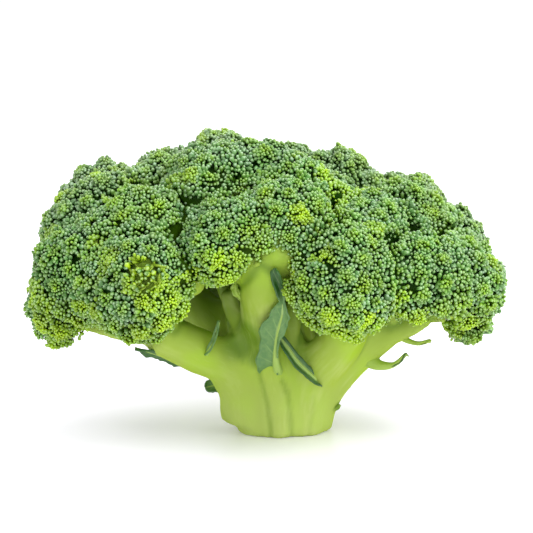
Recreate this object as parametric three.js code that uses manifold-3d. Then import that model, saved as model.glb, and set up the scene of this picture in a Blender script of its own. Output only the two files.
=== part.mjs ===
// A broccoli head as it is cut for the kitchen: a short stalk that divides into branches, the florets that
// the branches carry, and the small leaves left on the stalk. Millimetres, +Z up, front towards -Y.
// The origin is the middle of the cut face, on which the head stands.

import * as THREE from "three";
import { ConvexHull } from "three/addons/math/ConvexHull.js";
import { mergeVertices } from "three/addons/utils/BufferGeometryUtils.js";
import Module from "manifold-3d";

const wasm = await Module();
wasm.setup();

// ---- driving dimensions, in mm
const fit = 0.35; // gap kept between solids that touch on the plant
const clusterPitch = 9; // from one bud cluster to the next
const rimPitch = 7; // the same where a floret's dome meets its neighbour
const rimWidth = 1; // how near to that meeting line a cluster counts as on it
const hiddenPitch = 0.65; // the pitch where florets touch or face the stalk, as a share of the radius
const clusterRise = 1.5; // how far a cluster's crown stands out of its floret
const shoulderRise = 0.9; // the same at the cluster's shoulders
const shoulderShare = 0.56; // how far from a cluster's crown to the next pit its shoulder lies
const creaseDepth = 1.5; // how deep the pits between clusters are
const lastCluster = -0.55; // clusters end here on the underside, as the cosine of the angle from the axis
const fullCluster = -0.2; // and stand out in full from here on
const leafyShare = 0.3; // the least share of a full cluster that still counts as one
const undersideDepth = 0.68; // a floret's depth below its middle, as a share of its radius
const lumpiness = 0.045; // how far a floret departs from a true round, as a share of its radius
const lumpWaves = 5; // how close together those lumps are
const meltWidth = 13; // how far from the crease between two florets of a branch their domes melt together
const looseMeltWidth = 5; // the same between florets of different branches
const mostMelt = 7; // how far a floret grows at most to meet a neighbour that way
const meltPasses = 6;
const crownHub = new THREE.Vector3(-4, 4, 22); // the point that every floret faces away from
const branchSides = 12;
const branchSteps = 9; // lengths that a branch is made of
const belowCut = 4; // how far the branches run on below the cut face before they are cut
const twigTaper = [0.24, 0.22, 0.22, 0.18]; // radii of a floret's own stem, as shares of its radius
const twigSides = 6;
const twigSteps = 4;
const twigStart = 0.45; // where a floret's stem leaves the branch's last length, as a share of that length
const twigSag = 1.5; // how far a floret's stem sags between the fork and its seat
const nubSteps = 3;
const bladeThickness = 0.8;
const bladeRows = 10;
const bladeColumns = 4;
const bladeFoot = 0.12; // how far along its outline a blade starts, which sets its width at the stalk
const bladeFullness = 0.8; // below 1, a blade is widest nearer to the stalk
const leastBlade = 0.5; // how far a blade reaches at its tip
const notchWaves = 31; // how close together the cuts in a blade's edge are
const notchDepth = 0.1; // how deep they are, as a share of the reach
const edgeWaves = 19; // how close together the waves along a blade's edge are
const edgeLead = 2; // how far those waves run ahead on one side of the midrib

// ---- the branches, from the cut face up, each with the florets that it carries
// foot is where a branch meets the cut face; route holds its further points; radii go with foot and route.
// A floret is its middle (x, y, z) and its radius.
const branches = {
  left: {
    foot: [-10, -5],
    route: [[-12.5, -6, 11], [-19.5, -10, 25], [-32, -19, 34], [-47, -28, 42]],
    radii: [9.5, 9.4, 9, 8.4, 7],
    florets: {
      left_front: [-49, -41.5, 60, 19.5],
      left_top: [-48, -21, 75.5, 20.5],
      left_outer: [-72.2, -20, 62.5, 19.5],
      left_tip: [-80.5, -19, 48.5, 12.5],
    },
  },
  inner_left: {
    foot: [-10, 1],
    route: [[-12, 3, 13], [-19, 7, 27], [-29, 12, 39], [-42, 12, 54]],
    radii: [8.5, 8.5, 8.3, 8, 6.5],
    florets: {
      left_rear: [-68.5, 3, 75, 20.5],
      left_crown: [-44, 18, 85, 19.5],
    },
  },
  middle: {
    foot: [-1.5, -9.5],
    route: [[-2, -11, 12], [-5, -16, 30], [-8, -23, 48], [-9, -29, 60]],
    radii: [8, 8, 8.3, 8.2, 7],
    florets: {
      middle_left: [-22, -38, 74.5, 16.5],
      middle_right: [1, -36, 82.5, 16.5],
    },
  },
  inner_right: {
    foot: [7, -6],
    route: [[8, -8, 12], [12, -14, 25], [19, -24, 36], [24, -32, 45]],
    radii: [8.5, 8.5, 8.5, 8, 6.5],
    florets: {
      right_front: [20, -45, 62, 20.5],
      right_top: [29, -21, 75, 19],
    },
  },
  outer_right: {
    foot: [10, -1],
    route: [[12.5, -2, 11], [20, -7, 24], [32, -14, 36], [46, -19, 46]],
    radii: [8, 8.2, 8.2, 7, 5],
    florets: {
      right_inner: [46, -33, 62.5, 17],
      right_outer: [63, -20, 60, 17.4],
      right_tip: [66, -16, 46.5, 10.5],
      right_upper: [44, -5, 74, 19.5],
      right_shoulder: [59.5, 8, 66.5, 18],
    },
  },
  crown: {
    foot: [-1, 2],
    route: [[-1, 2, 14], [-2, 3, 32], [-7, 4, 50], [-10, 4, 66]],
    radii: [11, 11, 12.5, 12, 8.5],
    florets: {
      crown_left: [-28.5, -10, 87.5, 19.5],
      crown_middle: [-10, -5, 90.5, 19.5],
      crown_right: [10, -11, 85.5, 17.5],
      crown_rear_left: [-23, 29, 90.5, 20],
      crown_rear_right: [6, 33, 83.5, 19.5],
    },
  },
  rear_left: {
    foot: [-8.5, 7.5],
    route: [[-9.5, 9.5, 12], [-14, 15, 27], [-22.5, 23, 42.5], [-35, 32, 53]],
    radii: [8.5, 8.5, 8.5, 8.8, 6],
    florets: {
      rear_left_upper: [-68, 28, 79, 18.5],
      rear_left_lower: [-50, 46, 59, 20],
    },
  },
  rear_right: {
    foot: [8, 8],
    route: [[9, 10, 12], [13, 14, 26], [20, 20, 40], [32, 27, 53]],
    radii: [8.5, 8.5, 8.2, 7.5, 6],
    florets: {
      rear_right_crown: [20, 16, 85, 19],
      rear_right_upper: [46.5, 29, 75.5, 18.5],
      rear_right_lower: [37, 49, 57, 20],
    },
  },
  rear: {
    foot: [-1, 11],
    route: [[-1, 13, 12], [-2, 20, 26], [-4, 31, 38], [-6, 42, 48]],
    radii: [8, 8, 7.8, 7, 5.5],
    florets: {
      rear_middle_left: [-20, 59, 64, 20],
      rear_middle_right: [11, 59, 63, 20],
    },
  },
};

// ---- buds and cut leaf ends that stand out of the stalk: their points from the stalk out, and their radii
const nubs = [
  { route: [[-14, -3, 4], [-19, -3, 4], [-22.5, -3, 7]], radii: [3, 2.4, 0.8] },
  { route: [[14, -3, 8], [18, -4, 9.5], [19.5, -4, 12]], radii: [2, 1.6, 0.7] },
  { route: [[17, -6, 15], [22.5, -7, 17], [24, -7, 19.5]], radii: [2, 1.6, 0.7] },
];

// ---- the small leaves: the midrib's points from the stalk out, the widest reach of the blade on each side
// of it, how deep the blade folds along it, how far its edge waves, and the way that its upper face looks
const leaves = {
  leaf_front: {
    rib: [[-2, -22, 27], [-2.8, -27.5, 33], [-2.5, -31, 42], [-0.5, -33.5, 51], [-0.3, -31, 60]],
    reach: [8, 3.5],
    fold: 1.4,
    wave: 1.2,
    facing: [-0.2, -1, 0.1],
  },
  leaf_crossing: {
    rib: [[14, -18, 21], [11.5, -23.5, 25], [7, -27, 30], [1.5, -28, 37.5]],
    reach: [3, 3],
    fold: 1.2,
    wave: 0.3,
    facing: [0.5, -0.6, 0.9],
  },
  leaf_left: {
    rib: [[-28, -20, 30], [-28, -26, 34], [-25, -29, 39.5], [-23.2, -30, 47]],
    reach: [2, 2],
    fold: 0.7,
    wave: 0.4,
    facing: [-0.9, -0.6, 0.3],
  },
  leaf_under_left: {
    rib: [[-31, -18, 29], [-35, -21.5, 25.4], [-43.5, -26.5, 29.6], [-54, -31.5, 36]],
    reach: [3, 3],
    fold: 0.8,
    wave: 0.5,
    facing: [-0.3, -0.3, -1],
  },
  leaf_right_low: {
    rib: [[31, -14, 31], [35, -17, 27.2], [41, -19, 27.8], [45.2, -20, 33]],
    reach: [3, 3],
    fold: 1,
    wave: 0.3,
    facing: [-0.3, -0.2, 1],
  },
  leaf_right_high: {
    rib: [[42, -17, 42], [45, -19, 37.4], [49.5, -21, 36.6], [54, -22, 38.5]],
    reach: [1.8, 1.8],
    fold: 0.6,
    wave: 0.2,
    facing: [0, -0.2, 1],
  },
  leaf_stem: {
    rib: [[-12, -25, 53], [-16, -29, 56], [-17.5, -30, 59], [-17, -30, 62]],
    reach: [1.8, 1.8],
    fold: 0.6,
    wave: 0.4,
    facing: [-0.5, -0.9, 0.2],
  },
  leaf_rear: {
    rib: [[-15, 14, 18], [-21, 18, 17.5], [-28, 21, 17], [-33, 21, 14]],
    reach: [5.5, 5.5],
    fold: 1.4,
    wave: 0.8,
    facing: [-0.2, 0, 1],
  },
};

const stalkPaint = { color: "#abc45c", roughness: 0.42, metalness: 0 };
const floretPaint = { color: "#6f9445", roughness: 0.6, metalness: 0 };
const leafPaint = { color: "#769d62", roughness: 0.5, metalness: 0 };

// ---- solids and meshes
const vector = (p) => new THREE.Vector3(...p);

function solidOf(geometry) {
  const bare = new THREE.BufferGeometry();
  bare.setAttribute("position", geometry.getAttribute("position"));
  bare.setIndex(geometry.index);
  const merged = mergeVertices(bare, 1e-4);
  const vertProperties = merged.getAttribute("position").array;
  const triVerts = new Uint32Array(merged.index.array);
  return new wasm.Manifold(new wasm.Mesh({ numProp: 3, vertProperties, triVerts }));
}

function geometryOf(solid) {
  const { vertProperties, numProp, numVert, triVerts } = solid.getMesh();
  const positions = new Float32Array(numVert * 3);
  for (let v = 0; v < numVert; v++) {
    positions.set(vertProperties.subarray(v * numProp, v * numProp + 3), v * 3);
  }
  const geometry = new THREE.BufferGeometry();
  geometry.setAttribute("position", new THREE.BufferAttribute(positions, 3));
  geometry.setIndex(new THREE.BufferAttribute(triVerts, 1));
  return geometry;
}

function meshOf(name, solid, paint) {
  const geometry = geometryOf(solid).toNonIndexed();
  geometry.computeVertexNormals();
  const mesh = new THREE.Mesh(geometry, new THREE.MeshStandardMaterial(paint));
  mesh.name = name;
  return mesh;
}

// ---- the stalk
// A closed cylinder bent along a smooth route, whose radius runs through the radii from end to end.
function tube(points, radii, sides, steps, extra) {
  const route = new THREE.CatmullRomCurve3(points, false, "centripetal");
  const frames = route.computeFrenetFrames(steps, false);
  const shape = new THREE.CylinderGeometry(1, 1, 1, sides, steps);
  const position = shape.getAttribute("position");
  for (let v = 0; v < position.count; v++) {
    const along = position.getY(v) + 0.5;
    const step = Math.round(along * steps);
    const station = along * (radii.length - 1);
    const below = Math.min(Math.floor(station), radii.length - 2);
    const radius = THREE.MathUtils.lerp(radii[below], radii[below + 1], station - below) + extra;
    const middle = route.getPointAt(along);
    if (along === 1) middle.addScaledVector(frames.tangents[step], extra);
    middle.addScaledVector(frames.normals[step], -position.getX(v) * radius);
    middle.addScaledVector(frames.binormals[step], position.getZ(v) * radius);
    position.setXYZ(v, ...middle);
  }
  return solidOf(shape);
}

// The branches start below the cut face, and the cut takes their lower ends off square.
function branchPoints(branch) {
  const [x, y] = branch.foot;
  return [new THREE.Vector3(x, y, -belowCut), ...branch.route.map(vector)];
}

// A floret's own stem starts inside its branch, below the fork, and ends well inside the floret.
function twigPoints(branch, floret) {
  const [before, fork] = branchPoints(branch).slice(-2);
  const below = (share) => floret.middle.clone().addScaledVector(floret.axis, -share * floret.radius);
  const start = before.clone().lerp(fork, twigStart);
  const seat = below(undersideDepth);
  const bend = fork.clone().lerp(seat, 0.5).addScaledVector(floret.axis, -twigSag);
  const tip = below(undersideDepth / 2);
  return [start, bend, seat, tip];
}

function twigRadii(floret) {
  return twigTaper.map((share) => share * floret.radius);
}

function stalkSolid(extra) {
  const pieces = Object.values(branches).flatMap((branch) => [
    tube(branchPoints(branch), branch.radii, branchSides, branchSteps, extra),
    ...florets
      .filter((floret) => floret.branch === branch)
      .map((floret) => tube(twigPoints(branch, floret), twigRadii(floret), twigSides, twigSteps, extra)),
  ]);
  for (const nub of nubs) pieces.push(tube(nub.route.map(vector), nub.radii, twigSides, nubSteps, extra));
  const cut = new THREE.BoxGeometry(80, 80, 20).translate(0, 0, -10); // all that is below z = 0
  return wasm.Manifold.union(pieces).subtract(solidOf(cut));
}

// ---- the florets
const florets = Object.values(branches).flatMap((branch) =>
  Object.entries(branch.florets).map(([name, [x, y, z, radius]], index) => {
    const middle = new THREE.Vector3(x, y, z);
    const axis = middle.clone().sub(crownHub).normalize();
    return { name: "floret_" + name, branch, middle, radius, axis, phase: 2.4 * index + x };
  }),
);

function neighboursOf(floret) {
  const reach = (other) => floret.radius + other.radius + 3 * clusterRise;
  return florets.filter(
    (other) => other !== floret && other.middle.distanceTo(floret.middle) < reach(other),
  );
}

// Florets that press together meet in flat faces: each face's normal, and its distance from the middle.
function contactFaces(floret) {
  return floret.neighbours.map((other) => {
    const normal = other.middle.clone().sub(floret.middle);
    const apart = normal.length();
    const share = (apart ** 2 + floret.radius ** 2 - other.radius ** 2) / (2 * apart);
    return { normal: normal.normalize(), distance: share - fit / 2 };
  });
}

// How far a floret reaches from its middle in a direction: a lumpy dome with a shallower underside.
function domeReach(floret, direction) {
  const up = direction.dot(floret.axis);
  const across = Math.sqrt(Math.max(0, 1 - up * up));
  const height = up < 0 ? undersideDepth * floret.radius : floret.radius;
  const lumps = direction
    .toArray()
    .reduce((sum, part, n) => sum + Math.sin(lumpWaves * part + (n + 1) * floret.phase), 0);
  return (1 + lumpiness * lumps) / Math.hypot(across / floret.radius, up / height);
}

function smoothMin(a, b, width) {
  const closeness = Math.max(0, 1 - Math.abs(a - b) / width);
  return Math.min(a, b) - (width / 4) * closeness ** 2;
}

// The same where neighbouring domes melt into one another, which leaves shallow creases between florets.
function meltedReach(floret, direction) {
  const own = domeReach(floret, direction);
  let reach = own;
  for (let pass = 0; pass < meltPasses; pass++) {
    const point = floret.middle.clone().addScaledVector(direction, reach);
    const gap = floret.neighbours.reduce((least, other) => {
      const offset = point.clone().sub(other.middle);
      const away = offset.length();
      const width = other.branch === floret.branch ? meltWidth : looseMeltWidth;
      return smoothMin(least, away - domeReach(other, offset.divideScalar(away)), width);
    }, reach - own);
    reach = Math.min(reach - gap, own + mostMelt);
  }
  return Math.max(reach, own);
}

function contactReach(floret, direction) {
  return Math.min(
    Infinity,
    ...floret.faces.map(({ normal, distance }) => {
      const towards = normal.dot(direction);
      return towards > 1e-6 ? distance / towards : Infinity;
    }),
  );
}

// Bud clusters cover the dome and fade out on the underside: 1 on the dome, 0 on the underside.
function clusterShare(floret, direction) {
  return THREE.MathUtils.smoothstep(direction.dot(floret.axis), lastCluster, fullCluster);
}

function surfacePoint(floret, direction, rise) {
  const dome = meltedReach(floret, direction) + rise * clusterShare(floret, direction);
  return direction.clone().multiplyScalar(Math.min(dome, contactReach(floret, direction)));
}

// Even directions round a floret's axis: a golden-angle spiral.
function spiralDirections(floret, count) {
  const goldenAngle = Math.PI * (3 - Math.sqrt(5));
  const turned = new THREE.Quaternion().setFromUnitVectors(new THREE.Vector3(0, 0, 1), floret.axis);
  return Array.from({ length: count }, (_, n) => {
    const up = 1 - (2 * n + 1) / count;
    const across = Math.sqrt(1 - up * up);
    const turn = n * goldenAngle + floret.phase;
    return new THREE.Vector3(across * Math.cos(turn), across * Math.sin(turn), up).applyQuaternion(turned);
  });
}

// Cluster middles as directions, thinned to the pitch measured on the surface, or on a smaller round where a
// contact face comes close to the floret's middle. Those where the dome meets a neighbour are taken first.
function clusterDirections(floret) {
  const tries = 1600;
  const leastRound = 0.7;
  const chosen = [];
  const candidates = spiralDirections(floret, tries).map((direction) => {
    const dome = meltedReach(floret, direction);
    const contact = contactReach(floret, direction);
    const leafy = clusterShare(floret, direction) > leafyShare;
    const rim = leafy && Math.abs(dome - contact) < rimWidth;
    const raised = leafy && dome < contact + rimWidth;
    const pitch = rim ? rimPitch : raised ? clusterPitch : hiddenPitch * floret.radius;
    const reach = Math.max(Math.min(dome, contact), leastRound * floret.radius);
    return { direction, place: direction.clone().multiplyScalar(reach), rim, raised, pitch };
  });
  const far = (one) => (other) =>
    other.place.distanceTo(one.place) > Math.min(one.pitch, 0.5 * (one.pitch + other.pitch));
  for (const one of [...candidates.filter((c) => c.rim), ...candidates.filter((c) => !c.rim)]) {
    if (chosen.every(far(one))) chosen.push(one);
  }
  return chosen;
}

// The skin of a floret: a net of triangles through the cluster middles. Where a net edge joins two raised
// triangles, each end grows a rounded cluster with shoulders, and a crease runs between them.
function floretSkin(floret) {
  const clusters = clusterDirections(floret);
  const hull = new ConvexHull().setFromPoints(clusters.map((c) => c.direction));
  const indexOf = new Map(clusters.map((c, i) => [c.direction, i]));
  const positions = [];
  const triangles = [];
  const put = (direction, rise) => {
    const point = surfacePoint(floret, direction, rise).add(floret.middle);
    return positions.push(point.x, point.y, point.z) / 3 - 1;
  };
  const crowns = clusters.map((c) => put(c.direction, c.raised ? clusterRise : 0));
  const net = new Map();
  for (const face of hull.faces) {
    const corners = [0, 1, 2].map((k) => indexOf.get(face.getEdge(k).head().point));
    const raised = corners.every((c) => clusters[c].raised);
    const middle = new THREE.Vector3();
    for (const c of corners) middle.add(clusters[c].direction);
    middle.normalize();
    const cell = { raised, corners };
    if (raised) {
      cell.pit = put(middle, -creaseDepth);
      cell.shoulders = corners.map((c) =>
        put(clusters[c].direction.clone().lerp(middle, shoulderShare).normalize(), shoulderRise),
      );
    } else {
      triangles.push(...corners.map((c) => crowns[c]));
    }
    corners.forEach((from, k) => {
      net.set(from + ">" + corners[(k + 1) % 3], { cell, k });
    });
  }
  for (const [key, { cell, k }] of net) {
    if (!cell.raised) continue;
    const [from, to] = key.split(">").map(Number);
    const [a, b] = [cell.shoulders[k], cell.shoulders[(k + 1) % 3]];
    const across = net.get(to + ">" + from);
    if (across.cell.raised) {
      const c = across.cell.shoulders[(across.k + 1) % 3];
      triangles.push(crowns[from], c, a, a, c, across.cell.pit, a, across.cell.pit, cell.pit);
    } else {
      triangles.push(crowns[from], crowns[to], a, a, crowns[to], b, a, b, cell.pit);
    }
  }
  const skin = new THREE.BufferGeometry();
  skin.setAttribute("position", new THREE.Float32BufferAttribute(positions, 3));
  skin.setIndex(triangles);
  return solidOf(skin);
}

// ---- the leaves
// How far a blade reaches from its midrib: narrow at the stalk, full in the middle and pointed at the tip,
// with a cut edge.
function bladeReach(reach, along) {
  const outline = Math.sin(Math.PI * THREE.MathUtils.lerp(bladeFoot, 1, along) ** bladeFullness);
  const notches = 1 + notchDepth * Math.sin(notchWaves * along);
  return Math.max(leastBlade, reach * outline * notches);
}

// A leaf is two alike sheets, folded along the midrib and waved at the edges, closed by a rim.
function leafSolid(leaf) {
  const rib = new THREE.CatmullRomCurve3(leaf.rib.map(vector), false, "centripetal");
  const facing = vector(leaf.facing);
  const positions = [];
  for (const side of [1, -1]) {
    for (let row = 0; row <= bladeRows; row++) {
      const along = row / bladeRows;
      const forward = rib.getTangentAt(along);
      const across = forward.clone().cross(facing).normalize();
      const up = across.clone().cross(forward).normalize();
      for (let column = 0; column <= bladeColumns; column++) {
        const out = (2 * column) / bladeColumns - 1;
        const wave = leaf.wave * Math.sin(edgeWaves * along + edgeLead * out);
        const lift = (leaf.fold + wave) * out ** 2;
        const point = rib.getPointAt(along);
        point.addScaledVector(across, out * bladeReach(leaf.reach[out < 0 ? 0 : 1], along));
        point.addScaledVector(up, lift + (side * bladeThickness) / 2);
        positions.push(...point);
      }
    }
  }
  const width = bladeColumns + 1;
  const sheet = width * (bladeRows + 1);
  const triangles = [];
  const quad = (a, b, c, d) => triangles.push(a, b, c, a, c, d);
  for (let row = 0; row < bladeRows; row++) {
    for (let column = 0; column < bladeColumns; column++) {
      const a = row * width + column;
      const [b, c, d] = [a + 1, a + 1 + width, a + width];
      quad(a, b, c, d);
      quad(a + sheet, d + sheet, c + sheet, b + sheet);
    }
    const left = row * width;
    const right = left + bladeColumns;
    quad(left + sheet, left, left + width, left + width + sheet);
    quad(right, right + sheet, right + width + sheet, right + width);
  }
  for (let column = 0; column < bladeColumns; column++) {
    const end = bladeRows * width + column;
    quad(column, column + sheet, column + 1 + sheet, column + 1);
    quad(end + 1, end + 1 + sheet, end + sheet, end);
  }
  const blade = new THREE.BufferGeometry();
  blade.setAttribute("position", new THREE.Float32BufferAttribute(positions, 3));
  blade.setIndex(triangles);
  return solidOf(blade);
}

// ---- the whole head
for (const floret of florets) floret.neighbours = neighboursOf(floret);
for (const floret of florets) floret.faces = contactFaces(floret);
const stalkRoom = stalkSolid(fit);
const head = new THREE.Group();
head.name = "broccoli_head";
head.add(meshOf("stalk", stalkSolid(0), stalkPaint));
for (const floret of florets) {
  head.add(meshOf(floret.name, floretSkin(floret).subtract(stalkRoom), floretPaint));
}
for (const [name, leaf] of Object.entries(leaves)) {
  head.add(meshOf(name, leafSolid(leaf).subtract(stalkRoom), leafPaint));
}

export default head;
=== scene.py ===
import itertools
import math
import random

import bmesh
import bpy
from mathutils import Matrix, Vector, noise
from mathutils.bvhtree import BVHTree
from mathutils.kdtree import KDTree


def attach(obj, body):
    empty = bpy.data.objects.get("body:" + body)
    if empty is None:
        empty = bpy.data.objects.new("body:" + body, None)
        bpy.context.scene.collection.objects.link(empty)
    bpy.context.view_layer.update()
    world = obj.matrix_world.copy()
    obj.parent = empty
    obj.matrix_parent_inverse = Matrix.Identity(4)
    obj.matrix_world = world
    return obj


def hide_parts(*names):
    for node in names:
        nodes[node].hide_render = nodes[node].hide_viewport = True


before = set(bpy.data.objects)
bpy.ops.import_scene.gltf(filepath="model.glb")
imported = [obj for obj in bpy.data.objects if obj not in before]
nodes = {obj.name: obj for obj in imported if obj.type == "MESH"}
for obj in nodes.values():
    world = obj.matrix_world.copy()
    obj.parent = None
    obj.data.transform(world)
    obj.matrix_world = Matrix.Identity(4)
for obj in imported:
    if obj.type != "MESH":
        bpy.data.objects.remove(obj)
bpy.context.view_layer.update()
scene = bpy.context.scene
mm = 0.001
goldenAngle = math.pi * (3 - math.sqrt(5))
mergeDistance = 0.00001  # corners nearer than this become one, in m


# Small tools that the pieces share. This one runs softly from 0 at the low value to 1 at the high one.
def smoothstep(low, high, value):
    share = min(1.0, max(0.0, (value - low) / (high - low)))
    return share * share * (3 - 2 * share)


# The same for a value in metres, between two places in mm.
def fade(low, high, value):
    return smoothstep(low * mm, high * mm, value)


def blend(low, high, share):
    return low + (high - low) * share


def metres(place):
    return Vector(place) * mm


def inMetres(lines):
    return [([metres(p) for p in points], [radius * mm for radius in radii]) for points, radii in lines]


def numberAlong(values, share):
    station = share * (len(values) - 1)
    step = min(int(station), len(values) - 2)
    return blend(values[step], values[step + 1], station - step)


# A point on a smooth line through the points, at a share of the way along it.
def routePoint(points, share):
    last = len(points) - 1
    step = min(int(share * last), last - 1)
    t = share * last - step
    b, c = points[step], points[step + 1]
    a = points[step - 1] if step > 0 else b + (b - c)
    d = points[step + 2] if step + 2 <= last else c + (c - b)
    return 0.5 * (
        2 * b + (c - a) * t + (2 * a - 5 * b + 4 * c - d) * t * t + (3 * b - a - 3 * c + d) * t * t * t
    )


def treeOf(places):
    tree = KDTree(len(places))
    for index, place in enumerate(places):
        tree.insert(place, index)
    tree.balance()
    return tree


def mergedCopy(nodeName):
    bm = bmesh.new()
    bm.from_mesh(nodes[nodeName].data)
    bmesh.ops.remove_doubles(bm, verts=bm.verts, dist=mergeDistance)
    return bm


def meshObject(name, bm):
    mesh = bpy.data.meshes.new(name)
    bm.to_mesh(mesh)
    bm.free()
    mesh.shade_smooth()
    piece = bpy.data.objects.new(name, mesh)
    scene.collection.objects.link(piece)
    return piece


# A piece is named after its node: leaf_under_left becomes leafUnderLeft.
def pieceName(nodeName):
    first, *others = nodeName.split("_")
    return first + "".join(word.capitalize() for word in others)


# What the piece looks like with its modifiers and curves worked out, as a plain mesh.
def evaluatedMesh(piece):
    depsgraph = bpy.context.evaluated_depsgraph_get()
    return bpy.data.meshes.new_from_object(
        piece.evaluated_get(depsgraph), preserve_all_data_layers=True, depsgraph=depsgraph
    )


def dropObject(piece):
    data = piece.data
    bpy.data.objects.remove(piece)
    if isinstance(data, bpy.types.Mesh):
        bpy.data.meshes.remove(data)
    else:
        bpy.data.curves.remove(data)


# The finished shape of a helper object, which is dropped.
def meshOf(holder):
    mesh = evaluatedMesh(holder)
    dropObject(holder)
    bm = bmesh.new()
    bm.from_mesh(mesh)
    bpy.data.meshes.remove(mesh)
    bm.normal_update()
    return bm


# Adds what is in one bmesh to another and frees the first.
def pourInto(bm, other):
    mesh = bpy.data.meshes.new("poured")
    other.to_mesh(mesh)
    other.free()
    bm.from_mesh(mesh)
    bpy.data.meshes.remove(mesh)


# New layers on the corners: all are made first, because a new one moves the others.
def addLayers(bm, numbers, vectors=()):
    layers = bm.verts.layers
    for name in vectors:
        layers.float_vector.new(name)
    for name in numbers:
        layers.float.new(name)
    return layers.float, layers.float_vector


# Round stems along lines: each line is its points and the radii at them, in metres, smoothed in steps.
def stemTubes(lines, steps=6, sides=1):
    curve = bpy.data.curves.new("stems", "CURVE")
    curve.dimensions = "3D"
    curve.bevel_depth = 1.0
    curve.bevel_resolution = sides
    curve.use_fill_caps = True
    for points, radii in lines:
        spline = curve.splines.new("POLY")
        spline.points.add(steps)
        for step, knot in enumerate(spline.points):
            share = step / steps
            knot.co = (*routePoint(points, share), 1)
            knot.radius = numberAlong(radii, share)
    holder = bpy.data.objects.new("stems", curve)
    scene.collection.objects.link(holder)
    bm = meshOf(holder)
    bmesh.ops.remove_doubles(bm, verts=bm.verts, dist=0.1 * mergeDistance)
    bmesh.ops.recalc_face_normals(bm, faces=bm.faces)
    return bm


# Steps that the materials share.
def newMaterial(name):
    material = bpy.data.materials.new(name)
    material.use_nodes = True
    tree = material.node_tree
    return material, tree, tree.nodes["Principled BSDF"]


# Adds a node. Its inputs are plain values or what other nodes put out, its settings are the node's own.
def addNode(tree, kind, inputs=(), **settings):
    node = tree.nodes.new(kind)
    for name, value in settings.items():
        setattr(node, name, value)
    for name, value in dict(inputs).items():
        if isinstance(value, bpy.types.NodeSocket):
            tree.links.new(value, node.inputs[name])
        else:
            node.inputs[name].default_value = value
    return node


def attributeOf(tree, name, output="Fac"):
    return addNode(tree, "ShaderNodeAttribute", attribute_name=name).outputs[output]


def mixColours(tree, share, first, second, mode="MIX"):
    node = addNode(tree, "ShaderNodeMix", data_type="RGBA", blend_type=mode)
    for slot, value in zip((0, 6, 7), (share, first, second)):
        if isinstance(value, bpy.types.NodeSocket):
            tree.links.new(value, node.inputs[slot])
        elif slot == 0:
            node.inputs[slot].default_value = value
        else:
            node.inputs[slot].default_value = (*value, 1)
    return node.outputs[2]


def mapRange(tree, value, fromMin, fromMax, toMin=0.0, toMax=1.0, kind="SMOOTHSTEP"):
    inputs = {"Value": value, "From Min": fromMin, "From Max": fromMax, "To Min": toMin, "To Max": toMax}
    return addNode(tree, "ShaderNodeMapRange", inputs, interpolation_type=kind).outputs[0]


def calculate(tree, operation, first, second):
    return addNode(tree, "ShaderNodeMath", {0: first, 1: second}, operation=operation).outputs[0]


def multiply(tree, first, second):
    return calculate(tree, "MULTIPLY", first, second)


def noiseOf(tree, vector, scale, detail):
    inputs = {"Vector": vector, "Scale": scale, "Detail": detail, "Roughness": 0.55}
    return addNode(tree, "ShaderNodeTexNoise", inputs).outputs["Fac"]


# A pattern: a noise's scale and detail, the values between which it rises, and what it then runs from and to.
def patternOf(tree, vector, scale, detail, low, high, least=0.0, most=1.0, kind="SMOOTHSTEP"):
    return mapRange(tree, noiseOf(tree, vector, scale, detail), low, high, least, most, kind)


def raiseGrain(tree, shader, height, strength, depth):
    bump = addNode(tree, "ShaderNodeBump", {"Height": height, "Strength": strength, "Distance": depth})
    tree.links.new(bump.outputs[0], shader.inputs["Normal"])


def softenSkin(shader, look):
    shader.inputs["Roughness"].default_value = look["roughness"]
    shader.inputs["Subsurface Weight"].default_value = look["subsurface"]
    shader.inputs["Subsurface Radius"].default_value = look["subsurfaceRadius"]
    shader.inputs["Subsurface Scale"].default_value = 1.0


budFinish = {
    "gap": (0.009, 0.040, 0.002),  # painted shade between and under the buds
    "shadedFootShare": 0.3,  # how much of a bud's own colour its foot keeps under the painted shade
    "youngGapShade": (0.060, 0.130, 0.003),  # lighter painted shade between young buds
    "shadedFootTips": (0.05, 0.5),  # values of tip between which the bud's own colour comes in over the painted shade
    "flesh": (0.360, 0.520, 0.060),  # stems between the buds and the floret's underside
    "green": (0.064, 0.226, 0.010),
    "olive": (0.150, 0.300, 0.006),  # some buds are yellower than their neighbours
    "oliveFrom": 0.55,  # chance from which they are
    "oliveShare": 0.6,
    "wax": (0.114, 0.256, 0.088),  # grown buds with their grey bloom
    "bloom": (0.200, 0.265, 0.150),  # painted light and haze: buds at the back are painted paler and greyer with this
    "backHazeShare": 0.4,
    "backHazeDepth": (-0.03, 0.02),  # it comes in between these places from front to back, in m
    "young": (0.400, 0.610, 0.004),
    # pale bud tips: partly bloom, partly a painted highlight from the light above
    "tip": (0.42, 0.65, 0.16),
    "waxTip": (0.54, 0.72, 0.52),
    "lightTips": (0.7, 1.0),  # and between which its pale tip comes in, partly bloom and partly painted highlight
    "tipShare": 0.66,
    "patches": (70, 3.0, 0.35, 0.7, 0.78, 1.16, "LINEAR"),  # brightness from patch to patch
    "unevenness": (0.76, 1.24),  # and from bud to bud
    "specular": 0.4,
    "roughness": 0.4,
    "subsurface": 0.12,
    "subsurfaceRadius": (0.0006, 0.0010, 0.0003),
}
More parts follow.
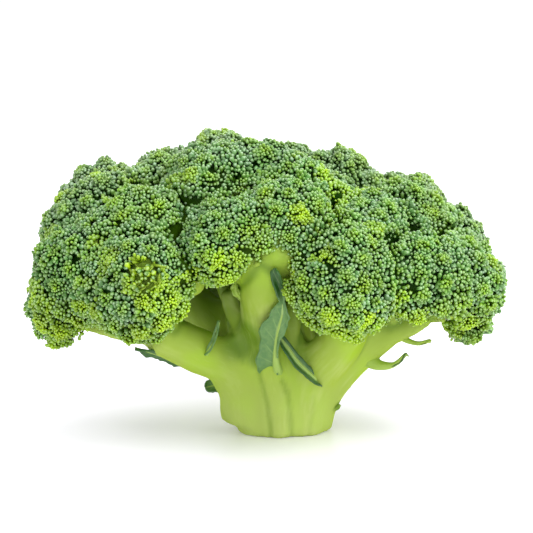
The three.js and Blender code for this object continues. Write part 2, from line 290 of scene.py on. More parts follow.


# Buds: tone runs from the green of a cluster's middle to the grey bloom at its edge. Tip runs from 0 at a
# bud's foot to 1 at its tip and is -1 on what lies under the buds: feet and what lies under them carry painted
# shade, and tips are paler, partly bloom and partly painted highlight. Young is how yellow a bud is, and luck
# differs from bud to bud. Buds at the back are painted paler and greyer, as painted light and haze.
def budMaterial():
    look = budFinish
    material, tree, shader = newMaterial("budSkin")
    place = addNode(tree, "ShaderNodeTexCoord").outputs["Object"]
    tone, tip, young, luck = (attributeOf(tree, name) for name in ("tone", "tip", "young", "luck"))
    body = mixColours(tree, tone, look["green"], look["wax"])
    chance = calculate(tree, "PINGPONG", multiply(tree, luck, 7.0), 1.0)  # a second number that differs
    olive = mapRange(tree, chance, look["oliveFrom"], 1.0, 0.0, look["oliveShare"])
    body = mixColours(tree, olive, body, look["olive"])
    # painted light and haze: buds further back are painted paler and greyer
    depth = addNode(tree, "ShaderNodeSeparateXYZ", {"Vector": place}).outputs["Y"]
    bloom = mapRange(tree, depth, *look["backHazeDepth"], 0.0, look["backHazeShare"])
    body = mixColours(tree, bloom, body, look["bloom"])
    body = mixColours(tree, young, body, look["young"])
    uneven = mapRange(tree, luck, 0, 1, *look["unevenness"], "LINEAR")
    brightness = multiply(tree, patternOf(tree, place, *look["patches"]), uneven)
    channels = {"Red": brightness, "Green": brightness, "Blue": brightness}
    grey = addNode(tree, "ShaderNodeCombineColor", channels).outputs[0]
    body = mixColours(tree, 1.0, body, grey, "MULTIPLY")
    # pale tips: partly bloom, partly painted highlight
    paleAndLitTip = multiply(tree, mapRange(tree, tip, *look["lightTips"]), look["tipShare"])
    body = mixColours(tree, paleAndLitTip, body, mixColours(tree, tone, look["tip"], look["waxTip"]))
    # painted shade: a bud's foot and what lies under the buds are painted dark, as shade
    gap = mixColours(tree, young, look["gap"], look["youngGapShade"])
    foot = mixColours(tree, mapRange(tree, tip, -0.5, 0.0, 0.0, look["shadedFootShare"]), gap, body)
    body = mixColours(tree, mapRange(tree, tip, *look["shadedFootTips"]), foot, body)
    body = mixColours(tree, attributeOf(tree, "flesh"), body, look["flesh"])
    tree.links.new(body, shader.inputs["Base Color"])
    shine = mapRange(tree, tip, 0.1, 0.6, 0.05, look["specular"])
    tree.links.new(shine, shader.inputs["Specular IOR Level"])
    softenSkin(shader, look)
    return material


stalkFinish = {
    "flesh": (0.345, 0.475, 0.058),
    "deep": (0.152, 0.266, 0.019),  # greener towards the florets, partly its own colour and partly painted shade, and painted shade in the forks and grooves
    "fresh": (0.360, 0.560, 0.030),
    "freshPatches": (60, 1.0, 0.45, 0.7, 0.0, 0.55),
    "pale": (0.520, 0.610, 0.190),  # bloom, for the streaks and for the painted light at the foot
    "paintedLightFoot": 0.45,  # painted light: its share at the cut edge, and the height where that ends, in m
    "paintedLightHeight": 0.03,
    "streaks": (1.0, 2.0, 0.35, 0.68),  # pale streaks along the branches, in patches
    "streakPatches": (38, 2.0, 0.35, 0.7),
    "streakShare": 0.5,
    "fine": (5.0, 2.0),  # finer streaks: their scale and detail
    "fineRange": (0.5, 0.75),
    "fineShare": 0.12,
    "relief": 0.15,
    "reliefDepth": 0.0005,  # m
    "cutFace": (0.600, 0.680, 0.330),
    "cutRing": (0.330, 0.450, 0.110),
    "fibres": (900, 3.0, 0.3, 0.7),
    "fibreShare": 0.35,
    "ringEvery": 0.35,  # rings in the cut face, as shares of the way from its rim to its middle
    "ringRange": (0.12, 0.3),
    "ringShare": 0.7,
    "rimWidth": 0.06,
    "specular": 0.22,
    "shineRange": (0.3, 0.65),  # it fades as the skin turns away
    "roughness": 0.48,
    "subsurface": 0.15,
    "subsurfaceRadius": (0.004, 0.005, 0.0015),
}


# Stalk: streaks follow the branches and fade at the seams between them. The flesh is painted greener and
# darker in the forks and grooves as painted shade, and higher up, where that is partly its own colour and
# partly painted shade;
# towards the cut foot it is painted paler, as painted light. Ring is 0 on the skin and runs from the cut
# face's edge to its middle.
def stalkMaterial():
    look = stalkFinish
    material, tree, shader = newMaterial("stalkSkin")
    place = addNode(tree, "ShaderNodeTexCoord").outputs["Object"]
    grain = attributeOf(tree, "grain", "Vector")
    alone = calculate(tree, "SUBTRACT", 1.0, attributeOf(tree, "seam"))
    streaks = multiply(tree, patternOf(tree, grain, *look["streaks"]), alone)
    fine = multiply(tree, noiseOf(tree, grain, *look["fine"]), alone)
    colour = mixColours(tree, patternOf(tree, place, *look["freshPatches"]), look["flesh"], look["fresh"])
    height = addNode(tree, "ShaderNodeSeparateXYZ", {"Vector": place}).outputs["Z"]
    # painted light: the lower stalk is painted paler towards the cut foot
    low = mapRange(tree, height, 0.0, look["paintedLightHeight"], look["paintedLightFoot"], 0.0)
    colour = mixColours(tree, low, colour, look["pale"])
    # painted shade: greener and darker in the forks, in the grooves and under the heads, partly the stalk's
    # own greener colour
    colour = mixColours(tree, attributeOf(tree, "deep"), colour, look["deep"])
    streaked = multiply(tree, streaks, patternOf(tree, place, *look["streakPatches"]))
    colour = mixColours(tree, multiply(tree, streaked, look["streakShare"]), colour, look["pale"])
    threads = mapRange(tree, fine, *look["fineRange"], 0.0, look["fineShare"])
    colour = mixColours(tree, threads, colour, look["pale"])
    ring = attributeOf(tree, "ring")
    fibres = multiply(tree, patternOf(tree, place, *look["fibres"]), look["fibreShare"])
    face = mixColours(tree, fibres, look["cutFace"], look["cutRing"])
    wood = mapRange(tree, calculate(tree, "PINGPONG", ring, look["ringEvery"]), *look["ringRange"])
    face = mixColours(tree, multiply(tree, wood, look["ringShare"]), face, look["cutRing"])
    colour = mixColours(tree, mapRange(tree, ring, 0.0, look["rimWidth"]), colour, face)
    tree.links.new(colour, shader.inputs["Base Color"])
    raiseGrain(tree, shader, fine, multiply(tree, alone, look["relief"]), look["reliefDepth"])
    turned = addNode(tree, "ShaderNodeLayerWeight", {"Blend": 0.5}).outputs["Facing"]
    shine = mapRange(tree, turned, *look["shineRange"], look["specular"], 0.0)
    tree.links.new(shine, shader.inputs["Specular IOR Level"])
    softenSkin(shader, look)
    return material


leafFinish = {
    "upper": (0.104, 0.240, 0.068),
    # deep green, darkened further as painted shade for leaves and leaf tips that lie under the heads
    "dark": (0.017, 0.088, 0.010),
    "rib": (0.360, 0.530, 0.150),
    "stem": (0.330, 0.490, 0.045),
    "mottling": (420, 3.0, 0.3, 0.7),
    "mottled": (0.2, 0.05),  # how much of it shows on a pale blade and on a dark one
    "veins": 9,
    "veinSlant": 1.6,
    "veinWidth": 0.11,
    "veinShare": 0.3,
    "veinEnds": (0.3, 0.95),  # veins and the dark edge, as shares of the way from the midrib out
    "edgeStart": (0.55, 0.9),
    "bandShare": 0.9,
    "bandEdge": 0.12,
    "relief": 0.3,
    "reliefDepth": 0.0005,  # m
    "roughness": 0.45,
    "subsurface": 0.06,
    "subsurfaceRadius": (0.001, 0.0015, 0.0004),
}


# Leaves: along and across place a point on the blade. Dark is how dark green the blade is: its own deeper
# green, and painted shade where a leaf lies in shade under the heads. Stemmy is how fleshy it is, edge how
# dark its edge is, and band how far the pale midrib spreads.
def leafMaterial():
    look = leafFinish
    material, tree, shader = newMaterial("leafSkin")
    place = addNode(tree, "ShaderNodeTexCoord").outputs["Object"]
    along, across, dark = (attributeOf(tree, name) for name in ("along", "across", "dark"))
    patches = patternOf(tree, place, *look["mottling"])
    blade = mixColours(tree, dark, look["upper"], look["dark"])
    mottled = multiply(tree, patches, mapRange(tree, dark, 0, 1, *look["mottled"]))
    blade = mixColours(tree, mottled, blade, look["rib"])
    station = multiply(tree, along, look["veins"])
    slant = calculate(tree, "SUBTRACT", station, multiply(tree, across, look["veinSlant"]))
    vein = mapRange(tree, calculate(tree, "PINGPONG", slant, 0.5), 0.0, look["veinWidth"], 1.0, 0.0)
    vein = multiply(tree, vein, mapRange(tree, across, *look["veinEnds"], look["veinShare"], 0.0))
    blade = mixColours(tree, vein, blade, look["rib"])
    beyond = calculate(tree, "SUBTRACT", across, attributeOf(tree, "band"))
    band = mapRange(tree, beyond, 0.0, look["bandEdge"], look["bandShare"], 0.0)
    blade = mixColours(tree, band, blade, look["rib"])
    blade = mixColours(tree, attributeOf(tree, "stemmy"), blade, look["stem"])
    rim = multiply(tree, mapRange(tree, across, *look["edgeStart"]), attributeOf(tree, "edge"))
    blade = mixColours(tree, rim, blade, look["dark"])
    tree.links.new(blade, shader.inputs["Base Color"])
    relief = calculate(tree, "ADD", multiply(tree, patches, 0.5), vein)
    raiseGrain(tree, shader, relief, look["relief"], look["reliefDepth"])
    softenSkin(shader, look)
    return material


budSkin = budMaterial()
stalkSkin = stalkMaterial()
leafSkin = leafMaterial()
print("materials ready")

# The head's plan, in mm: a branch's route from the cut face up, and each floret's middle and radius.
branches = {
    "left": {
        "route": [(-10, -5, -4), (-12.5, -6, 11), (-19.5, -10, 25), (-32, -19, 34), (-47, -28, 42)],
        "radii": (9.5, 9.4, 9, 8.4, 7),
        "florets": {
            "left_front": (-49, -41.5, 60, 19.5),
            "left_top": (-48, -21, 75.5, 20.5),
            "left_outer": (-72.2, -20, 62.5, 19.5),
            "left_tip": (-80.5, -19, 48.5, 12.5),
        },
    },
    "innerLeft": {
        "route": [(-10, 1, -4), (-12, 3, 13), (-19, 7, 27), (-29, 12, 39), (-42, 12, 54)],
        "radii": (8.5, 8.5, 8.3, 8, 6.5),
        "florets": {"left_rear": (-68.5, 3, 75, 20.5), "left_crown": (-44, 18, 85, 19.5)},
    },
    "middle": {
        "route": [(-1.5, -9.5, -4), (-2, -11, 12), (-5, -16, 30), (-8, -23, 48), (-9, -29, 60)],
        "radii": (8, 8, 8.3, 8.2, 7),
        "florets": {"middle_left": (-22, -38, 74.5, 16.5), "middle_right": (1, -36, 82.5, 16.5)},
    },
    "innerRight": {
        "route": [(7, -6, -4), (8, -8, 12), (12, -14, 25), (19, -24, 36), (24, -32, 45)],
        "radii": (8.5, 8.5, 8.5, 8, 6.5),
        "florets": {"right_front": (20, -45, 62, 20.5), "right_top": (29, -21, 75, 19)},
    },
    "outerRight": {
        "route": [(10, -1, -4), (12.5, -2, 11), (20, -7, 24), (32, -14, 36), (46, -19, 46)],
        "radii": (8, 8.2, 8.2, 7, 5),
        "florets": {
            "right_inner": (46, -33, 62.5, 17),
            "right_outer": (63, -20, 60, 17.4),
            "right_tip": (66, -16, 46.5, 10.5),
            "right_upper": (44, -5, 74, 19.5),
            "right_shoulder": (59.5, 8, 66.5, 18),
        },
    },
    "crown": {
        "route": [(-1, 2, -4), (-1, 2, 14), (-2, 3, 32), (-7, 4, 50), (-10, 4, 66)],
        "radii": (11, 11, 12.5, 12, 8.5),
        "florets": {
            "crown_left": (-28.5, -10, 87.5, 19.5),
            "crown_middle": (-10, -5, 90.5, 19.5),
            "crown_right": (10, -11, 85.5, 17.5),
            "crown_rear_left": (-23, 29, 90.5, 20),
            "crown_rear_right": (6, 33, 83.5, 19.5),
        },
    },
    "rearLeft": {
        "route": [(-8.5, 7.5, -4), (-9.5, 9.5, 12), (-14, 15, 27), (-22.5, 23, 42.5), (-35, 32, 53)],
        "radii": (8.5, 8.5, 8.5, 8.8, 6),
        "florets": {"rear_left_upper": (-68, 28, 79, 18.5), "rear_left_lower": (-50, 46, 59, 20)},
    },
    "rearRight": {
        "route": [(8, 8, -4), (9, 10, 12), (13, 14, 26), (20, 20, 40), (32, 27, 53)],
        "radii": (8.5, 8.5, 8.2, 7.5, 6),
        "florets": {
            "rear_right_crown": (20, 16, 85, 19),
            "rear_right_upper": (46.5, 29, 75.5, 18.5),
            "rear_right_lower": (37, 49, 57, 20),
        },
    },
    "rear": {
        "route": [(-1, 11, -4), (-1, 13, 12), (-2, 20, 26), (-4, 31, 38), (-6, 42, 48)],
        "radii": (8, 8, 7.8, 7, 5.5),
        "florets": {"rear_middle_left": (-20, 59, 64, 20), "rear_middle_right": (11, 59, 63, 20)},
    },
}
crownHub = metres((-4, 4, 22))
florets = {}
for branchName, branch in branches.items():
    branch["points"] = [metres(p) for p in branch["route"]]
    for name, (x, y, z, radius) in branch["florets"].items():
        middle = metres((x, y, z))
        florets[name] = {
            "node": "floret_" + name,
            "middle": middle,
            "radius": radius * mm,
            "axis": (middle - crownHub).normalized(),
            "branch": branchName,
            "head": name,
        }
# Florets that grow into one rounded head; deeper creases run between the heads.
heads = (
    ("left_front", "left_top", "left_outer", "left_tip"),
    ("left_rear", "rear_left_upper"),
    ("left_crown", "crown_rear_left"),
    ("middle_left", "middle_right"),
    ("crown_left", "crown_middle", "crown_right"),
    ("crown_rear_right", "rear_right_crown"),
    ("right_front", "right_top"),
    ("right_upper", "right_shoulder", "rear_right_upper"),
    ("right_inner", "right_outer", "right_tip"),
)
for head in heads:
    for name in head:
        florets[name]["head"] = head[0]

# The stalk: the branches melt into one another, grooves run between them and streaks along them. Pairs are
# places in mm, or shares, between which something begins and is full.
stalkShape = {
    "voxel": 1.3,  # mm
    "firstSmoothing": 3,
    "fillet": 5.2,  # how far the hollows between branches are filled, in mm
    "filletSmoothing": 2,
    "smoothing": 5,
    "lastSmoothing": 0.4,
    "swell": 0.3,  # makes up for what the smoothing takes off, in mm
    "branchSteps": 24,  # how finely the branches' middle lines are followed
    "floretStemSteps": 8,
    "floretStem": (0.24, 0.22, 0.2),  # radii of a floret's stem, as shares of the floret's
    "floretStemFrom": 0.45,  # where it leaves the last stretch of its branch
    "neighbours": 22,  # how many places on these lines a corner is measured against
    "groove": 0.85,  # depth of the grooves, in mm
    "grooveWidth": 1.5,
    "grooveBottom": 0.2,
    "grooveFront": -4,  # the drawn grooves hold in front of this, in mm
    "grooveTop": (26, 34),  # and above these heights the gaps between branches do
    "grooveShade": 0.55,
    "shadeCore": 0.4,  # share of a shade's reach where it is full
    "seamWidth": (1.5, 4),  # streaks come in this far from the next branch
    "cutFaceHeight": 0.6,  # the cut face lies under this, in mm, and looks down at least so much
    "cutFaceTurn": -0.6,
    "rimHeight": (1.2, 3.5),  # the skin between these heights tells where its rim is
    "ringWidth": (0.6, 14),  # the cut face's rings, from its rim inwards
    "sharpness": 0.7,  # keeps the cut edge from rounding off, in mm
    "sharpHeight": (0.4, 2),
    "heelSide": (-17, -9),  # the cut stub of a leaf low on the left
    "heel": 1.9,  # how far it stands out, in mm
    "heelBottom": (3, 5),
    "heelTop": (8, 16),
    "heelCut": 2.9,  # how far the foot is drawn in below it
    "heelCutTop": (2, 5),
    "grainAround": 2.4,
    "grainAlong": 0.05,
    "greenHeight": (30, 64),  # the skin turns greener upwards, partly its own colour and partly painted shade under the heads
    "paleFront": (24, 36),  # but less so far out in front
    "paleShare": 0.75,
}
# Stems that show in the forks or run on under the heads: their points and radii, in mm.
innerStems = [
    ([(-12, -10, 18), (-15.5, -14, 30), (-17, -14.5, 42), (-20, -15, 56)], (5, 4.8, 4, 3.6)),
    ([(3.5, -13, 20), (5, -18, 31), (4.5, -19.5, 42), (3, -20, 56)], (4, 3.2, 2.8, 2.6)),
    (
        [(-6.5, -18, 38), (-8, -24, 50), (-7.5, -32.5, 60), (-6, -37.5, 68), (-4.5, -40.5, 76), (-4, -33, 85)],
        (6.6, 7, 8.6, 11, 12.4, 9),
    ),
    ([(-16, 2, 40), (-20, 0, 52), (-24, -4, 64)], (4, 4, 4)),
    ([(42, -17, 41), (49, -22, 44.7), (56.5, -26, 49.6), (63, -27, 53.6)], (4.6, 3.4, 2.3, 1.9)),
    ([(-44, -24, 39), (-53, -21, 38.9), (-64.7, -20, 41.4), (-78, -19, 44.8)], (3.4, 2.8, 2.2, 1.8)),
]
# Cut stubs of leaves low on the right.
cutStubs = [
    ([(18, -6, 15.5), (23.5, -6, 17.6), (25.3, -6, 19.4)], (2, 1.5, 0.8)),
    ([(15, -6, 8.5), (19.8, -6, 9.4), (21.2, -6, 10.6)], (1.5, 1.0, 0.5)),
]
# Forks that are deeper than the melted stems leave them: their middle, their reach and their depth, in mm.
dents = [((11, -17, 33), 8, 8), ((-22, -13, 40), 6, 2), ((-31, -13, 22), 9, 1.8), ((-14, -24, 37), 9, 3)]
# Where the skin is shaded and green between the stems: middle, reach in mm and strength.
shades = [
    ((11, -14, 36), 14, 1),
    ((-17, -13, 43), 12, 0.55),
    ((-13.5, -24, 41), 11, 1),
    ((-16, -23, 37), 10, 1),
    ((-12, -26, 32), 8, 1),
    ((-4, -47, 79), 16, 0.6),
    ((24.6, -6, 18.6), 3.5, 1),
    ((21.2, -6, 10.2), 3.5, 1),
    ((-15.5, -8, 8), 6, 0.6),
]
# Grooves that part the branches in front, in mm, and how deep each is as a share of the deepest possible.
frontGrooves = [
    [(-9, 0, 25.6), (-7.5, 0, 19.6), (-5.6, 0, 10.8), (-4.5, 0, 1)],
    [(-0.5, 0, 23.2), (1.8, 0, 16.6), (2.5, 0, 9), (2.9, 0, 1)],
    [(11, 0, 16.6), (10.6, 0, 11.5), (10.4, 0, 8.7), (9.7, 0, 1.5)],
]
grooveStrengths = (0.8, 0.75, 0.3)
grooveSteps = 60


# The middle line of every branch and floret stem, with its radii in mm.
def stemLines():
    look = stalkShape
    lines = [(branch["points"], branch["radii"], look["branchSteps"]) for branch in branches.values()]
    for floret in florets.values():
        before, fork = branches[floret["branch"]]["points"][-2:]
        seat = floret["middle"] - floret["axis"] * floret["radius"] * 0.5
        stem = [before.lerp(fork, look["floretStemFrom"]), fork.lerp(seat, 0.5), seat]
        radii = [share * floret["radius"] / mm for share in look["floretStem"]]
        lines.append((stem, radii, look["floretStemSteps"]))
    return lines


# Places along these lines, each with its direction, the way up to it, its line's number and its radius.
def stemSamples():
    samples = []
    for number, (points, radii, steps) in enumerate(stemLines()):
        travelled = 0.0
        for step in range(steps + 1):
            here = routePoint(points, step / steps)
            ahead = routePoint(points, min(1.0, (step + 0.5) / steps))
            behind = routePoint(points, max(0.0, (step - 0.5) / steps))
            radius = numberAlong(radii, step / steps) * mm
            samples.append((here, (ahead - behind).normalized(), travelled, number, radius))
            travelled += (routePoint(points, min(1.0, (step + 1) / steps)) - here).length
    return samples, treeOf([sample[0] for sample in samples])


# The sample of the nearest stem, and how much further off the next stem's skin is.
def nearestStem(place, samples, tree):
    best = {}
    for _, index, away in tree.find_n(place, stalkShape["neighbours"]):
        number, radius = samples[index][3:]
        outside = away - radius
        if number not in best or outside < best[number][0]:
            best[number] = (outside, index)
    ranked = sorted(best.values())
    gap = ranked[1][0] - ranked[0][0] if len(ranked) > 1 else 1.0
    return samples[ranked[0][1]], gap


# Where the streaks' noise is read: around the stem and, far more slowly, along it.
def grainAt(place, sample):
    here, forward, travelled, number, _ = sample
    outward = place - here
    level = Vector((0, 0, 1)) if abs(forward.z) < 0.1 else forward.cross(Vector((0, 1, 0)))
    side = (level - forward * level.dot(forward)).normalized()
    around = math.atan2(outward.dot(forward.cross(side)), outward.dot(side))
    turn = stalkShape["grainAround"]
    along = (travelled + outward.dot(forward)) / mm * stalkShape["grainAlong"]
    return (math.cos(around) * turn, math.sin(around) * turn, along + 10 * number)  # no two lines alike


def stalkLayers(bm):
    numbers, vectors = addLayers(bm, ("deep", "ring", "seam"), ("grain",))
    return vectors["grain"], numbers["deep"], numbers["ring"], numbers["seam"]


def meltSteps(piece, voxel, smoothing):
    remesh = piece.modifiers.new("melt", "REMESH")
    remesh.mode = "VOXEL"
    remesh.voxel_size = voxel * mm
    smooth = piece.modifiers.new("soften", "SMOOTH")
    smooth.iterations = smoothing
    smooth.factor = 0.5


def swellStep(piece, distance):
    swell = piece.modifiers.new("swell", "DISPLACE")
    swell.strength = distance * mm
    swell.mid_level = 0


def grooveTree():
    routes = [[metres(p) for p in line] for line in frontGrooves]
    shares = [step / grooveSteps for step in range(grooveSteps + 1)]
    return treeOf([routePoint(route, share) for route in routes for share in shares])


# How deep in a groove a place on the stalk lies, from 0 to 1: branches part where another stem is as near as
# the nearest one, and in front the grooves run as drawn.
def grooveAt(place, gap, tree):
    look = stalkShape
    parted = 1 - fade(0, look["grooveWidth"], gap)
    if place.y > look["grooveFront"] * mm:
        return parted
    high = fade(*look["grooveTop"], place.z)
    _, index, away = tree.find(Vector((place.x, 0, place.z)))
    strength = grooveStrengths[index // (grooveSteps + 1)]
    return max(high * parted, strength * (1 - fade(look["grooveBottom"], look["grooveWidth"], away)))


# The stub of a cut leaf low on the left, with the foot drawn in below it.
def heelShift(place):
    look = stalkShape
    left = 1 - fade(*look["heelSide"], place.x)
    out = look["heel"] * fade(*look["heelBottom"], place.z) * (1 - fade(*look["heelTop"], place.z))
    drawn = look["heelCut"] * (1 - fade(*look["heelCutTop"], place.z))
    return left * (drawn - out) * mm


# The hollows between branches fill up when the solid is swollen, melted and drawn in again.
def meltedBranches():
    look = stalkShape
    holder = meshObject("stalkHolder", mergedCopy("stalk"))
    meltSteps(holder, look["voxel"], look["firstSmoothing"])
    swellStep(holder, look["fillet"])
    meltSteps(holder, look["voxel"], 0)
    swellStep(holder, -look["fillet"])
    meltSteps(holder, look["voxel"], look["filletSmoothing"])
    whole = meshOf(holder)
    for middle, reach, depth in dents:
        for vert in whole.verts:
            away = (vert.co - metres(middle)).length
            vert.co -= vert.normal * depth * (1 - fade(0, reach, away)) * mm
    pourInto(whole, stemTubes(inMetres(innerStems), steps=12, sides=3))
    holder = meshObject("stalkHolder", whole)
    meltSteps(holder, look["voxel"], look["smoothing"])
    return meshOf(holder)


# How green and shaded a place is painted: greener towards the florets, partly its own colour and partly
# painted shade under the heads, with painted shade in the forks and in the grooves.
def greenAndShadeAt(place, groove):
    look = stalkShape
    high = fade(*look["greenHeight"], place.z)
    high *= 1 - look["paleShare"] * fade(*look["paleFront"], -place.y)
    shade = 0.0
    for middle, reach, strength in shades:
        away = (place - metres(middle)).length
        shade = max(shade, strength * (1 - fade(look["shadeCore"] * reach, reach, away)))
    return min(1.0, max(high, shade) + look["grooveShade"] * groove)


def buildStalk():
    look = stalkShape
    bm = meltedBranches()
    pourInto(bm, stemTubes(inMetres(cutStubs), steps=8, sides=2))
    grain, deep, ring, seam = stalkLayers(bm)
    samples, tree = stemSamples()
    drawnGrooves = grooveTree()
    low, high = look["rimHeight"]
    rim = treeOf([vert.co for vert in bm.verts if low * mm < vert.co.z < high * mm])
    for vert in bm.verts:
        sample, gap = nearestStem(vert.co, samples, tree)
        vert[grain] = grainAt(vert.co, sample)
        vert[seam] = 1 - fade(*look["seamWidth"], gap)
        groove = grooveAt(vert.co, gap, drawnGrooves)
        vert[deep] = greenAndShadeAt(vert.co, groove)
        vert.co.x += heelShift(vert.co)
        if vert.co.z < look["cutFaceHeight"] * mm and vert.normal.z < look["cutFaceTurn"]:
            vert[ring] = fade(*look["ringWidth"], rim.find(vert.co)[2])
            vert.co.z = 0
        else:
            edge = look["sharpness"] * (1 - fade(*look["sharpHeight"], vert.co.z))
            vert.co += vert.normal * (look["swell"] + edge - groove * look["groove"]) * mm
            vert.co.z = max(0.0, vert.co.z)
    bmesh.ops.smooth_vert(
        bm, verts=bm.verts, factor=look["lastSmoothing"], use_axis_x=True, use_axis_y=True, use_axis_z=True
    )
    piece = meshObject("stalkBody", bm)
    piece.data.materials.append(stalkSkin)
    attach(piece, "root")
    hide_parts("stalk")


buildStalk()
print("stalk ready")

# The crown: one skin melts the florets together, and buds fill it as closely as they fit.
skinShape = {
    "voxel": 1.25,  # mm
    "smoothing": 3,
    "bridge": 0.86,  # florets nearer than this share of their radii are bridged
    "bridged": 0.93,  # by balls of this share
    # balls where several heads meet: their middle and radius, in mm
    "fillers": [
        ((-32.8, -23, 79.2), 13),
        ((38, 13.5, 73), 13),
        ((-48.5, -1.5, 73), 13),
        ((-26.5, 9, 84), 12),
        ((-8, 17, 81), 12),
        ((29, 0, 73), 12),
        ((6, 7, 80), 11),
        ((14, -27, 66), 8),
        ((-34, -32, 62), 8),
        ((-34.5, 47, 62), 9),
    ],
    "fillerDepth": 2.2,  # how far the solid of such a ball lies under the buds
}
budPlan = {
    "sweeps": 9,  # how often every face of the skin is offered a bud
    "middle": 0.74,  # room that a bud takes at a cluster's middle and at its edge, in mm
    "edge": 1.26,
    "young": 0.74,  # young buds are this much smaller
    "fill": 1.42,  # a bud's width, as a share of its room
    "uneven": 0.22,  # how much that differs from bud to bud
    "heights": (0.92, 1.4),
    "flatness": (0.88, 1.12),
    "crownRise": 0.55,  # how far cluster middles stand above their edges, in mm
    "clumpRise": 0.9,  # how far small clumps of buds do
    "clumpScale": 270,  # 1 / m
    "ragged": 0.28,  # how much single buds do
    "sink": 0.7,  # how deep the buds sit in the skin, in mm
    "creaseWidth": 3.8,  # buds sink where two heads meet, this far to each side, in mm
    "creaseDepth": 1.9,
    "fan": 0.7,  # how far edge buds lean outwards, at this distance from the cluster's middle, in mm
    "fanReach": 5,
    "sway": 0.3,
    "pits": -0.52,  # clump noise under which an edge stays bare, and where that edge begins
    "pitsFrom": 0.4,
    "yellowMiddle": 0.42,  # how much younger a cluster's middle buds look
    "grownEdge": 0.3,  # and how much older those at its edge are
    "youngBloom": 0.15,  # share of the bloom that the youngest buds keep
    "lowest": -0.44,  # the last buds on a floret's underside, as the cosine of the angle from its axis
    # the same on florets that end higher
    "lowestOn": {
        "middle_right": -0.08,
        "middle_left": -0.24,
        "right_inner": -0.2,
        "right_outer": -0.24,
        "left_outer": -0.34,
        "left_front": -0.38,
    },
    "lower": {"crown_rear_left": 1.3, "rear_right_crown": 0.8, "left_rear": 0.5},  # in mm, against the skin
    "hem": 0.16,  # how ragged that edge is
    "hemScale": 170,  # 1 / m
    "hemReach": (1.12, 3),  # how near a floret has to be: so many radii from its middle and so many mm more
    # places without buds, where a stem runs out into its head, and their reach, in mm
    "bare": [
        ((-9.5, -51.5, 69), 4.5),
        ((-4.5, -52, 71.5), 5),
        ((-1, -50, 73.5), 4),
        ((-15, -47, 64.5), 3),
        ((-11, -46, 66), 6),
        ((-5, -46, 67), 7),
        ((1, -44, 68), 6),
        ((-6, -38, 66), 9),
        ((49, -41, 47.5), 4.5),
        ((53.5, -39, 47), 6),
        ((57.5, -36, 47), 6),
        ((54, -31, 46), 7),
    ],
    "bareDepth": 3,  # how far up the edge of the buds moves there
}


# One bud, from a ball of radius 1.
budShape = {
    "around": 5,
    "rings": 3,
    "point": 1.2,  # height of its tip
    "tail": 2.6,  # depth of its foot
    "shoulder": 1.1,  # width above its middle
    "neck": 0.86,  # and below it, where it is also longer
    "neckDrop": 1.2,
    "shoulderTip": 0.72,  # values of tip there
    "neckTip": 0.3,
}


# One bud that points up: pointed above, drawn in to its foot.
def budTemplate():
    look = budShape
    nearPole = 0.9
    bm = bmesh.new()
    bmesh.ops.create_uvsphere(bm, u_segments=look["around"], v_segments=look["rings"], radius=1)
    tip = bm.verts.layers.float.new("tip")
    for vert in bm.verts:
        up = vert.co.z
        if up > nearPole:
            vert[tip], vert.co.z = 1.0, look["point"]
        elif up > 0:
            vert[tip] = look["shoulderTip"]
            vert.co.x *= look["shoulder"]
            vert.co.y *= look["shoulder"]
        elif up > -nearPole:
            vert[tip] = look["neckTip"]
            vert.co.x *= look["neck"]
            vert.co.y *= look["neck"]
            vert.co.z *= look["neckDrop"]
        else:
            vert[tip], vert.co.z = 0.0, -look["tail"]
    return meshObject("budTemplate", bm)


# Sets a copy of the template on every point, turned to the point's axis and scaled to its size.
def scatterGroup(template):
    group = bpy.data.node_groups.new("budScatter", "GeometryNodeTree")
    for way in ("INPUT", "OUTPUT"):
        group.interface.new_socket("Geometry", in_out=way, socket_type="NodeSocketGeometry")
    points = addNode(group, "NodeGroupInput").outputs[0]
    shape = addNode(group, "GeometryNodeObjectInfo", {"Object": template}).outputs["Geometry"]
    axis, side, size = [
        addNode(group, "GeometryNodeInputNamedAttribute", {"Name": name}, data_type="FLOAT_VECTOR").outputs[0]
        for name in ("axis", "side", "size")
    ]
    turn = addNode(
        group, "FunctionNodeAxesToRotation", {0: axis, 1: side}, primary_axis="Z", secondary_axis="X"
    ).outputs[0]
    inputs = {"Points": points, "Instance": shape, "Rotation": turn, "Scale": size}
    placed = addNode(group, "GeometryNodeInstanceOnPoints", inputs)
    real = addNode(group, "GeometryNodeRealizeInstances", {"Geometry": placed.outputs[0]})
    addNode(group, "NodeGroupOutput", {0: real.outputs[0]})
    return group


# All florets of the CAD in one mesh, with the name of the floret that each face belongs to.
def joinedFlorets():
    bm = bmesh.new()
    owners = []
    for name, floret in florets.items():
        bm.from_mesh(nodes[floret["node"]].data)
        owners += [name] * (len(bm.faces) - len(owners))
    return bm, owners


def addBall(bm, middle, radius):
    bmesh.ops.create_icosphere(bm, subdivisions=3, radius=radius, matrix=Matrix.Translation(middle))


def areNear(one, other):
    reach = skinShape["bridge"] * (one["radius"] + other["radius"])
    return one["head"] == other["head"] and (one["middle"] - other["middle"]).length < reach


# Balls that fill the hollows between the florets of one head, and where several heads meet.
def bridgeHollows(bm):
    look = skinShape
    for count in (2, 3):
        for group in itertools.combinations(florets.values(), count):
            if all(areNear(*pair) for pair in itertools.combinations(group, 2)):
                middle = sum((floret["middle"] for floret in group), Vector()) / count
                addBall(bm, middle, look["bridged"] * sum(floret["radius"] for floret in group) / count)
    for middle, radius in look["fillers"]:
        addBall(bm, metres(middle), radius * mm)


def crownSkin(together):
    whole = together.copy()
    bmesh.ops.remove_doubles(whole, verts=whole.verts, dist=mergeDistance)
    bridgeHollows(whole)
    piece = meshObject("crownSkin", whole)
    meltSteps(piece, skinShape["voxel"], skinShape["smoothing"])
    return meshOf(piece)


